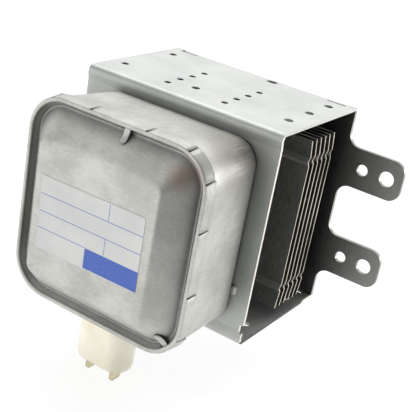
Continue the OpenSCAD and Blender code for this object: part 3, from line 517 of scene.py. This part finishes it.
def plate_steel():
    t = Tree("plate_zinc")
    cloud = t.noise(0.05, 4, 0.6)
    fine = t.noise(2.5, 3, 0.6, place=t.stretch(0.3, 1, 1))
    tone = t.blend(cloud, 0.5, fine, 0.5)
    # Painted shade: a darker copy of the yoke's zinc plating, near black where the yoke and fins close it in
    colour = t.mix(t.ramp(tone, 0.35, 0.65), rgb(128, 129, 127), rgb(142, 142, 139))
    colour = t.mix(t.times(t.crevice(30.0, 0.3, 0.97), 0.85), colour, rgb(30, 32, 31))
    # Cut edges paler: bare metal with a painted highlight
    rim = t.ramp(t.facing("Y"), 0.5, 0.2)
    colour = t.mix(t.times(rim, 0.5), colour, rgb(186, 183, 174))
    t.set(base_color=colour, metallic=0.85, roughness=t.level(fine, 0.32, 0.46))
    return t.bump(fine, 0.008).material


def fin_aluminium():
    t = Tree("fin_sheet")
    fine = t.noise(2.0, 3, 0.6, place=t.stretch(1, 1, 0.2))
    # Painted shade: a grey far darker than bare aluminium, near black where the fins are closed in
    colour = t.mix(t.ramp(fine, 0.35, 0.65), rgb(92, 93, 91), rgb(112, 112, 109))
    colour = t.mix(t.times(t.crevice(8.0, 0.2, 0.9), 0.9), colour, rgb(24, 25, 25))
    # Painted highlight: pale on the cut edges turned sideways, fainter on the beads and top edges
    cut_side_highlight = t.ramp(t.facing("X"), 0.6, 0.9)
    colour = t.mix(cut_side_highlight, colour, rgb(226, 217, 200))
    bead_highlight = t.ramp(t.facing("Z"), 0.35, 0.6)
    colour = t.mix(t.times(bead_highlight, 0.45), colour, rgb(176, 174, 167))
    t.set(base_color=colour, metallic=0.6, roughness=t.level(fine, 0.4, 0.6))
    return t.bump(fine, 0.006).material


def ferrite():
    t = Tree("ferrite_grey")
    coarse = t.noise(0.5, 5, 0.65)
    fine = t.noise(6.0, 3, 0.6)
    colour = t.mix(t.level(coarse, 0.0, 1.0), rgb(44, 44, 46), rgb(66, 65, 66))
    colour = t.mix(t.edge(0.4), colour, rgb(98, 96, 94))
    t.set(base_color=colour, roughness=t.level(fine, 0.55, 0.8), specular_ior_level=0.4)
    return t.bump(t.math("ADD", fine, coarse), 0.03).material


def pale_solid(name, cloud, fine_scale, tones, crevice_tone, reach, share, rough, weight, radius, depth):
    """Pale ceramic or plastic that light enters a little: radius is how far, by colour, in metres."""
    t = Tree(name)
    fine = t.noise(fine_scale, 2, 0.5)
    colour = t.mix(t.level(t.noise(*cloud), 0.0, 1.0), *tones)
    # Darker and browner where the surface is closed in
    colour = t.mix(t.times(t.crevice(reach, 0.3, 0.95), share), colour, crevice_tone)
    t.set(base_color=colour, roughness=t.level(fine, *rough), subsurface_weight=weight,
          subsurface_radius=radius, subsurface_scale=1.0)
    return t.bump(fine, depth).material


def alumina():
    return pale_solid("fired_alumina", cloud=(0.25, 4, 0.6), fine_scale=5.0,
                      tones=(rgb(228, 222, 214), rgb(241, 237, 231)), crevice_tone=rgb(150, 136, 122),
                      reach=2.0, share=0.4, rough=(0.35, 0.55), weight=0.1,
                      radius=(0.002, 0.0017, 0.0014), depth=0.01)


def cream_plastic():
    return pale_solid("cream_moulding", cloud=(0.12, 3, 0.5), fine_scale=4.5,
                      tones=(rgb(243, 237, 216), rgb(250, 246, 230)), crevice_tone=rgb(170, 158, 124),
                      reach=2.5, share=0.35, rough=(0.42, 0.58), weight=0.15,
                      radius=(0.003, 0.0026, 0.002), depth=0.012)


def choke_enamel():
    t = Tree("wire_enamel")
    cloud = t.noise(0.6, 3, 0.5)
    colour = t.mix(t.level(cloud, 0.0, 1.0), rgb(120, 62, 30), rgb(168, 92, 46))
    t.set(base_color=colour, metallic=0.35, roughness=t.level(cloud, 0.2, 0.32), coat_weight=0.6)
    return t.bump(t.noise(5.0, 2), 0.008).material


def label_paper():
    """Satin sheet with ruled lines and a plain field."""
    t = Tree("label_satin")
    cloud = t.noise(0.08, 3, 0.5)
    fine = t.noise(5.0, 2, 0.5)
    colour = t.mix(t.level(cloud, 0.0, 1.0), rgb(198, 199, 198), rgb(208, 209, 207))
    x, z = t.at("X"), t.at("Z")
    inked = 0.0
    for x0, z0, x1, z1 in INK:
        across = t.times(t.ramp(x, x0 - INK_SOFT, x0 + INK_SOFT), t.ramp(x, x1 + INK_SOFT, x1 - INK_SOFT))
        up = t.times(t.ramp(z, z0 - INK_SOFT, z0 + INK_SOFT), t.ramp(z, z1 + INK_SOFT, z1 - INK_SOFT))
        inked = t.math("MAXIMUM", t.times(across, up), inked)
    ink = t.mix(t.level(t.noise(1.2, 3), 0.0, 1.0), rgb(52, 86, 172), rgb(64, 100, 186))
    colour = t.mix(t.times(inked, 0.94), colour, ink)
    t.set(base_color=colour, metallic=0.25, roughness=t.level(fine, 0.42, 0.55))
    return t.bump(fine, 0.006).material


mats = {
    "yoke_steel": yoke_steel(),
    "plate_steel": plate_steel(),
    "fin_aluminium": fin_aluminium(),
    "ferrite": ferrite(),
    "anode_copper": plated("anode_copper", rgb(196, 124, 88), rgb(160, 92, 62), 0.9, (0.3, 0.45)),
    "pole_iron": plated("pole_iron", rgb(150, 150, 150), rgb(120, 120, 121), 0.8, (0.35, 0.5)),
    "shell_steel": plated("shell_steel", rgb(190, 190, 186), rgb(158, 158, 154), 0.85, (0.28, 0.42)),
    "cathode_metal": plated("cathode_metal", rgb(112, 112, 116), rgb(84, 84, 88), 0.6, (0.5, 0.7)),
    "alumina": alumina(),
    "cap_steel": plated("cap_steel", rgb(206, 206, 203), rgb(180, 180, 177), 0.9, (0.16, 0.28),
                        grain=(1, 0.1, 1)),
    "gasket_mesh": plated("gasket_wire", rgb(190, 188, 180), rgb(150, 148, 140), 0.85, (0.28, 0.45),
                          crevice=0.8, shade=0.6),
    "box_steel": plated("drawn_tin", LIGHT_TIN, DARK_TIN, 0.45, (0.42, 0.54), grain=(1, 0.05, 1),
                        grain_scale=1.5, grain_depth=0.03, crevice=2.0, shade=0.7, tints=BOX_TINTS),
    "cover_steel": plated("pressed_tin", LIGHT_TIN, DARK_TIN, 0.35, (0.46, 0.58), grain=(0.35, 1, 1),
                          grain_scale=1.4, crevice=6.0, shade=0.95, tints=COVER_REFLECTION_TINTS, shaded_sides=0.55),
    "choke_wire": choke_enamel(),
    "cream_plastic": cream_plastic(),
    "blade_plating": plated("blade_plating", rgb(226, 220, 190), rgb(200, 192, 158), 0.8, (0.25, 0.38)),
}
for node in nodes.values():
    held = node.data.materials
    held[0] = mats[held[0].name.split(".")[0]]

# Filter box cover: one pressed sheet from the skirt over the rim and valley to the panel
slits = slit_gaps()
side_run = COVER_W / 2 - COVER_R
corner_half = math.degrees(HOLD_SLOT / 2 / (COVER_R - RIM_W))
hold_gaps = [(0, "down", (HOLD_X - HOLD_SLOT / 2) / side_run, (HOLD_X + HOLD_SLOT / 2) / side_run),
             (3, "corner", 45 - corner_half, 45 + corner_half)]
cover_cols = columns(COVER_SIDE_STEPS, COVER_CORNER_STEPS, slits + hold_gaps)
slit_faces = gap_faces(cover_cols, slits)
hold_faces = gap_faces(cover_cols, hold_gaps)
rows = [(0.0, Y_SKIRT - step) for step in SKIRT_STEPS] + [(0.0, Y_RIM + SKIRT_TOP)]
for i in range(RIM_STEPS + 1):
    a = math.pi * i / RIM_STEPS
    rows.append((RIM_W / 2 * (1 - math.cos(a)), Y_RIM + RIM_ROLL * (1 - math.sin(a))))
rows += [(RIM_W + inset, Y_RIM + depth) for inset, depth in VALLEY_ROWS]
cover_rows = [(COVER_W - 2 * inset, COVER_H - 2 * inset, COVER_R - inset, y, 0) for inset, y in rows]

foot = RIM_W + VALLEY_LEAN + VALLEY_W
foot_w, foot_h, foot_r = COVER_W - 2 * foot, COVER_H - 2 * foot, COVER_R - foot
rise = Y_RIM + VALLEY_D - Y_PANEL
slope_run = (foot_w - PANEL_W) / 2
slope_angle = math.atan2(rise, slope_run)
tangent = EDGE_R * math.tan(slope_angle / 2)
soft_tangent = SOFT_EDGE_R * math.tan(slope_angle / 2)
straight = math.hypot(rise, slope_run) - tangent
first_slope_row = len(cover_rows)


def slope_row(run, y):
    """Row of the panel's slope, at a run from its foot."""
    share = run / slope_run
    r = max(foot_r + (PANEL_R - foot_r) * share, SLOPE_LEAST_R)
    return foot_w + (PANEL_W - foot_w) * share, foot_h + (PANEL_H - foot_h) * share, r, y, 0


for share in SLOPE_SHARES:
    run, up = straight * share * math.cos(slope_angle), straight * share * math.sin(slope_angle)
    cover_rows.append(slope_row(run, Y_RIM + VALLEY_D - up))
for i in range(1, EDGE_STEPS + 1):
    a = slope_angle * (1 - i / EDGE_STEPS)
    run = slope_run + tangent - EDGE_R * math.sin(a)
    cover_rows.append(slope_row(run, Y_PANEL + EDGE_R * (1 - math.cos(a))))
for inset in PANEL_INSETS:
    r = max(PANEL_R - inset / 2, PANEL_LEAST_R)
    cover_rows.append((PANEL_W - 2 * inset, PANEL_H - 2 * inset, r, Y_PANEL, 0))
inner = cover_rows[-1]
for shrink in PANEL_SHRINKS:
    cover_rows.append((inner[0] * shrink, inner[1] * shrink, inner[2] * shrink, Y_PANEL, 0))


def soft_upper_edge(i, x, z):
    """Along the top the panel rolls into its slope with a much larger radius than elsewhere."""
    inset = COVER_H / 2 - z - foot
    start = slope_run - soft_tangent * math.cos(slope_angle)
    if i < first_slope_row or not start < inset <= slope_run + soft_tangent:
        return 0.0
    near_side = COVER_W / 2 - abs(x) - foot
    share = min(max((near_side - inset + SOFT_START) / SOFT_BLEND, 0.0), 1.0)
    share = share * share * (3 - 2 * share)
    a = math.asin(min((slope_run + soft_tangent - inset) / SOFT_EDGE_R, 1.0))
    y = Y_PANEL + SOFT_EDGE_R * (1 - math.cos(a))
    return max(y - cover_rows[i][3], 0.0) * share


def skirt_shift(i, j, x, z):
    """Slits close towards the skirt's edge with one lip lifted, and the corner segments spread a little."""
    if i >= SKIRT_ROWS:
        return Vector((0, soft_upper_edge(i, x, z), 0))
    share = 1 - i / SKIRT_ROWS
    out = Vector((x, 0, z)).normalized()
    corner = max(0.0, abs(out.x * out.z) - SPREAD_FROM) / SPREAD_SPAN
    spread = (SPREAD_LOW_LEFT if x < 0 and z < 0 else SPREAD) * min(corner, 1.0) * share
    before = (j - 1) % len(cover_cols)
    if j not in slit_faces and before not in slit_faces:
        return out * spread
    other = (j + 1) % len(cover_cols) if j in slit_faces else before
    x1, z1 = loop_point(cover_cols[other], COVER_W, COVER_H, COVER_R)
    close = SLIT_CLOSE * share
    lift = LIP_LIFT if j in slit_faces else OTHER_LIP
    return Vector(((x1 - x) * close, 0, (z1 - z) * close)) + out * (spread + lift * share)


def cut_away(i, j):
    return (i in SLIT_ROWS and j in slit_faces) or (i in SLOT_ROWS and j in hold_faces)


bm = bmesh.new()
rings = loft(bm, cover_rows, cover_cols, (COVER_X, COVER_Z), cut_away, skirt_shift)
bm.faces.new(rings[-1])
cover = new_piece("cover_pressing", bm, mats["cover_steel"], ["filter_box_cover"], SOFT_SHEET)
thicken(cover, SHEET)


def bent_strip(bm, line, across, width, thick):
    """Strip along a line of points, bevelled along its edges and round at its tip."""
    edge = thick / 4
    flat, top = thick / 2 - edge, thick / 2
    rings = []
    for i, p in enumerate(line):
        face = direction(line, i).cross(across)
        to_end = min((line[-1] - p).length / (width / 2), 1.0)
        half = width / 2 * max(math.sqrt(1 - (1 - to_end) ** 2), TIP_LEAST)
        inner = half - edge
        section = ((half, -flat), (half, flat), (inner, top), (-inner, top),
                   (-half, flat), (-half, -flat), (-inner, -top), (inner, -top))
        rings.append([bm.verts.new(p + across * u + face * v) for u, v in section])
    tube(bm, rings)


def bend(u, start, middle, end):
    """Place at u along a curve that leaves start and reaches end, drawn towards middle."""
    return (1 - u) ** 2 * start + 2 * u * (1 - u) * middle + u * u * end


def hold_line(anchor, outward):
    """From inside the rim through its slot and down on to the panel's slope."""
    tip = VALLEY_D - HOLD_REACH * math.tan(slope_angle) - HOLD_LIFT
    found = []
    for i in range(HOLD_STEPS + 1):
        u = i / HOLD_STEPS
        y = Y_RIM + bend(u, HOLD_DEPTH, HOLD_DEPTH, tip)
        found.append(anchor - outward * bend(u, *HOLD_INSETS) + Vector((0, y, 0)))
    return found


cut_back = COVER_R * (1 - math.sqrt(0.5))
low_right = Vector((COVER_X + COVER_W / 2 - cut_back, 0, COVER_Z - COVER_H / 2 + cut_back))
hold_places = [(Vector((COVER_X + HOLD_X, 0, COVER_Z + COVER_H / 2)), Vector((0, 0, 1))),
               (low_right, Vector((1, 0, -1)).normalized())]
bm = bmesh.new()
for anchor, outward in hold_places:
    bent_strip(bm, hold_line(anchor, outward), outward.cross(Vector((0, 1, 0))), HOLD_W, BOX_T)
new_piece("holding_tongues", bm, mats["box_steel"])

# Filter box: drawn pan from the mouth down to its floor round the neck hole
box_cols = columns(BOX_SIDE_STEPS, BOX_CORNER_STEPS)
y_edge = Y_RIM + BOX_GAP
y_collar = y_edge + COLLAR_LEN
y_base = Y_FLOOR - FLOOR_R
box_rows = [(BOX_W, BOX_H, BOX_R, y, 0) for y in (y_edge, y_edge + COLLAR_MID, y_collar - COLLAR_BEND)]
for i in range(BOX_STEPS + 1):
    share = i / BOX_STEPS
    ease = share + BOX_BULGE * math.sin(math.pi * share)
    box_rows.append((BOX_W + (BOX_BASE_W - BOX_W) * ease, BOX_H + (BOX_BASE_H - BOX_H) * ease,
                     BOX_R + (BOX_BASE_R - BOX_R) * ease, y_collar + (y_base - y_collar) * share,
                     BOX_DROP * share))
for i in range(1, FLOOR_STEPS + 1):
    a = math.pi / 2 * i / FLOOR_STEPS
    inset = FLOOR_R * (1 - math.cos(a))
    box_rows.append((BOX_BASE_W - 2 * inset, BOX_BASE_H - 2 * inset, BOX_BASE_R - inset,
                     y_base + FLOOR_R * math.sin(a), BOX_DROP))
bm = bmesh.new()
rings = loft(bm, box_rows, box_cols, (COVER_X, COVER_Z))
hole = []
for c in box_cols:
    x, z = loop_point(c, *box_rows[-1][:3])
    x, z = x + COVER_X, z + COVER_Z - BOX_DROP
    reach = NECK_HOLE_R / math.hypot(x, z)
    hole.append(bm.verts.new((x * reach, Y_FLOOR, z * reach)))
strip_faces(bm, rings[-1], hole)
pan = new_piece("drawn_box", bm, mats["box_steel"], ["filter_box"], SOFT_SHEET)
thicken(pan, BOX_T)


# Knitted gasket: wires wound both ways round the ring's section, passing over and under each other
def ring_place(turn, roll, inset):
    """Point on the ring's section, which is a soft rectangle, at a turn about the axis."""
    c, s = math.cos(roll), math.sin(roll)
    along = math.copysign(abs(c) ** SECTION_POWER, c) * (BAND - inset)
    y = GASKET_Y + math.copysign(abs(s) ** SECTION_POWER, s) * (HALF_T - inset)
    r = (GASKET_OUT + GASKET_IN) / 2 + along
    return Vector((GASKET_X + r * math.cos(turn), y, GASKET_Z + r * math.sin(turn)))


bm = bmesh.new()
gasket_middle = Vector((GASKET_X, GASKET_Y, GASKET_Z))
wire_angles = [2 * math.pi * q / WIRE_SIDES for q in range(WIRE_SIDES)]
for way in (-1, 1):
    for k in range(WIRE_COUNT):
        line = []
        for i in range(WIRE_STEPS + 1):
            u = i / WIRE_STEPS
            turn = 2 * math.pi * (k + way * WIRE_LEAD * u) / WIRE_COUNT
            weave = way * math.sin(2 * math.pi * WIRE_LEAD * u) * WIRE_R * WEAVE
            line.append(ring_place(turn, 2 * math.pi * (u + WIRE_START), 2 * WIRE_R + weave))
        rings = []
        for i, p in enumerate(line):
            along = direction(line, i)
            side = along.cross(gasket_middle - p).normalized()
            up = side.cross(along)
            rings.append([bm.verts.new(p + (side * math.cos(a) + up * math.sin(a)) * WIRE_R)
                          for a in wire_angles])
        tube(bm, rings)
new_piece("knitted_gasket", bm, mats["gasket_mesh"], ["rf_gasket"], SOFT_WIRE)
bm = bmesh.new()
core_rolls = [2 * math.pi * (q + 0.5) / CORE_ROLLS for q in range(CORE_ROLLS)]
core = [[bm.verts.new(ring_place(2 * math.pi * i / CORE_TURNS, roll, CORE_INSET)) for roll in core_rolls]
        for i in range(CORE_TURNS)]
for i in range(CORE_TURNS):
    strip_faces(bm, core[i], core[(i + 1) % CORE_TURNS])
# A dark core under the wires: painted shade for the knit's inner layers
core_shade_tone = plated("gasket_core", rgb(112, 111, 106), rgb(74, 73, 70), 0.7, (0.5, 0.7),
                   grain_scale=3.0, grain_depth=0.06)
new_piece("gasket_core", bm, core_shade_tone, (), SOFT_WIRE)

# Label, stuck on the panel a little askew
bm = bmesh.new()
outline = []
for turn in range(4):
    cx = (LABEL_W / 2 - LABEL_R) * (1 if turn in (0, 3) else -1)
    cz = (LABEL_H / 2 - LABEL_R) * (1 if turn in (0, 1) else -1)
    for i in range(LABEL_STEPS + 1):
        a = math.pi / 2 * (turn + i / LABEL_STEPS)
        outline.append((cx + LABEL_R * math.cos(a), cz + LABEL_R * math.sin(a)))
tube(bm, [[bm.verts.new((x, y, z)) for x, z in outline] for y in (-LABEL_T, LABEL_SINK)])
label = new_piece("plain_label", bm, label_paper())
label.location = (LABEL_X * MM, Y_PANEL * MM, LABEL_Z * MM)
label.rotation_euler = (0, -LABEL_TILT, 0)
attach(label, "root")

# Floor, lights and camera, in metres
FLOOR_RADIUS, FLOOR_SEGMENTS, FLOOR_GAP = 12, 96, 0.0003
# White of the floor: its glow near the part and far off, those distances in millimetres, and what light adds
GLOW_NEAR, GLOW_FAR, NEAR_BY, FAR_OFF, LIT_SHARE = 0.86, 1.0, 600.0, 2500.0, 0.22
WORLD_LOW, WORLD_HIGH, WORLD_HIGH_AT, WORLD_STRENGTH = 0.45, 0.9, 0.7, 0.12
# Height, as the upward part of a direction, at which the white horizon ends and from which it is full
BAND_END, BAND_FULL = 0.5, 0.3

floor_mesh = bpy.data.meshes.new("floor")
bm = bmesh.new()
bmesh.ops.create_circle(bm, cap_ends=True, segments=FLOOR_SEGMENTS, radius=FLOOR_RADIUS)
bm.to_mesh(floor_mesh)
bm.free()
floor = bpy.data.objects.new("floor", floor_mesh)
floor.location = (0, 0, cad_low.z - FLOOR_GAP)
bpy.context.scene.collection.objects.link(floor)


def floor_paper():
    """Pale paper that shows white where it is seen or mirrored, and keeps the part's shadow."""
    t = Tree("floor_paper")
    t.set(base_color=t.mix(t.noise(0.004, 2), rgb(236, 236, 236), rgb(240, 240, 240)), roughness=0.9)
    glow = t.tree.nodes.new("ShaderNodeEmission")
    t.put(glow.inputs["Strength"], t.ramp(t.distance((0, 0, 0)), NEAR_BY, FAR_OFF, GLOW_NEAR, GLOW_FAR))
    pale = t.tree.nodes.new("ShaderNodeBsdfDiffuse")
    pale.inputs["Color"].default_value = (LIT_SHARE, LIT_SHARE, LIT_SHARE, 1)
    both = t.tree.nodes.new("ShaderNodeAddShader")
    t.tree.links.new(glow.outputs[0], both.inputs[0])
    t.tree.links.new(pale.outputs[0], both.inputs[1])
    path = t.tree.nodes.new("ShaderNodeLightPath")
    seen = t.math("MAXIMUM", path.outputs["Is Camera Ray"], path.outputs["Is Glossy Ray"])
    seen = t.math("MAXIMUM", seen, path.outputs["Is Transmission Ray"])
    pick = t.tree.nodes.new("ShaderNodeMixShader")
    t.tree.links.new(seen, pick.inputs[0])
    t.tree.links.new(t.shader.outputs[0], pick.inputs[1])
    t.tree.links.new(both.outputs[0], pick.inputs[2])
    t.tree.links.new(pick.outputs[0], t.out.inputs[0])
    return t.material


floor_mesh.materials.append(floor_paper())

world = bpy.data.worlds.new("studio")
bpy.context.scene.world = world
world.use_nodes = True
wt = world.node_tree
wt.nodes.clear()
w_out = wt.nodes.new("ShaderNodeOutputWorld")
w_bg = wt.nodes.new("ShaderNodeBackground")
w_co = wt.nodes.new("ShaderNodeTexCoord")
w_sep = wt.nodes.new("ShaderNodeSeparateXYZ")
w_ramp = wt.nodes.new("ShaderNodeValToRGB")
wt.links.new(w_co.outputs["Generated"], w_sep.inputs[0])
wt.links.new(w_sep.outputs["Z"], w_ramp.inputs[0])
for element, at, grey in zip(w_ramp.color_ramp.elements, (0.0, WORLD_HIGH_AT), (WORLD_LOW, WORLD_HIGH)):
    element.position = at
    element.color = (grey, grey, grey, 1)
wt.links.new(w_ramp.outputs[0], w_bg.inputs["Color"])
w_bg.inputs["Strength"].default_value = WORLD_STRENGTH
# The backdrop at the horizon is white where it is seen or mirrored, and lights nothing else
w_path = wt.nodes.new("ShaderNodeLightPath")
w_white = wt.nodes.new("ShaderNodeBackground")
w_white.inputs["Color"].default_value = (1, 1, 1, 1)
w_band = wt.nodes.new("ShaderNodeMapRange")
w_band.inputs["From Min"].default_value = BAND_END
w_band.inputs["From Max"].default_value = BAND_FULL
wt.links.new(w_sep.outputs["Z"], w_band.inputs["Value"])
w_seen = w_path.outputs["Is Camera Ray"]
for kind, other in (("MAXIMUM", w_path.outputs["Is Glossy Ray"]),
                    ("MAXIMUM", w_path.outputs["Is Transmission Ray"]), ("MULTIPLY", w_band.outputs[0])):
    w_math = wt.nodes.new("ShaderNodeMath")
    w_math.operation = kind
    wt.links.new(w_seen, w_math.inputs[0])
    wt.links.new(other, w_math.inputs[1])
    w_seen = w_math.outputs[0]
w_pick = wt.nodes.new("ShaderNodeMixShader")
wt.links.new(w_seen, w_pick.inputs[0])
wt.links.new(w_bg.outputs[0], w_pick.inputs[1])
wt.links.new(w_white.outputs[0], w_pick.inputs[2])
wt.links.new(w_pick.outputs[0], w_out.inputs[0])


def softbox(name, place, aim, size, power):
    """Rectangular lamp at a place, turned to a point. Sizes are metres and power is watts."""
    lamp = bpy.data.lights.new(name, "AREA")
    lamp.shape = "RECTANGLE"
    lamp.size, lamp.size_y = size
    lamp.energy = power
    holder = bpy.data.objects.new(name, lamp)
    bpy.context.scene.collection.objects.link(holder)
    holder.location = place
    holder.rotation_euler = (Vector(aim) - Vector(place)).to_track_quat("-Z", "Y").to_euler()
    return holder


softbox("top_back_softbox", place=(-0.15, 0.45, 1.0), aim=(0, -0.03, 0), size=(1.7, 1.2), power=18.0)
key = softbox("front_left_softbox", place=(-0.6, -1.35, 0.3), aim=(0, -0.06, 0), size=(2.0, 0.7), power=18.0)
# The front lamp would mirror in the panel's soft upper roll as a hard white bar
key.visible_glossy = False
softbox("right_back_softbox", place=(0.9, 0.65, 0.16), aim=(0, -0.05, 0), size=(1.0, 0.4), power=7.5)

# The photograph's viewpoint: place, azimuth, elevation, roll and focal length in pixels of a 412 pixel frame
VIEW_AT = (0.16346, -0.31197, 0.12879)
AZIMUTH, ELEVATION, ROLL = math.radians(29.66), math.radians(22.61), math.radians(10.69)
FOCAL_PX, FRAME_PX, SENSOR = 947.07, 412, 36.0
NEAREST, FARTHEST = 0.01, 50
across = Vector((math.cos(AZIMUTH), math.sin(AZIMUTH), 0))
upward = Vector((-math.sin(AZIMUTH) * math.sin(ELEVATION), math.cos(AZIMUTH) * math.sin(ELEVATION),
                 math.cos(ELEVATION)))
backward = across.cross(upward)
right = math.cos(ROLL) * across + math.sin(ROLL) * upward
up = -math.sin(ROLL) * across + math.cos(ROLL) * upward
lens = bpy.data.cameras.new("camera")
lens.sensor_width = SENSOR
lens.lens = FOCAL_PX / FRAME_PX * SENSOR
lens.clip_start, lens.clip_end = NEAREST, FARTHEST
camera = bpy.data.objects.new("camera", lens)
bpy.context.scene.collection.objects.link(camera)
turn = Matrix((right, up, backward)).transposed().to_4x4()
turn.translation = VIEW_AT
camera.matrix_world = turn
bpy.context.scene.camera = camera
bpy.context.scene.view_settings.view_transform = "Standard"
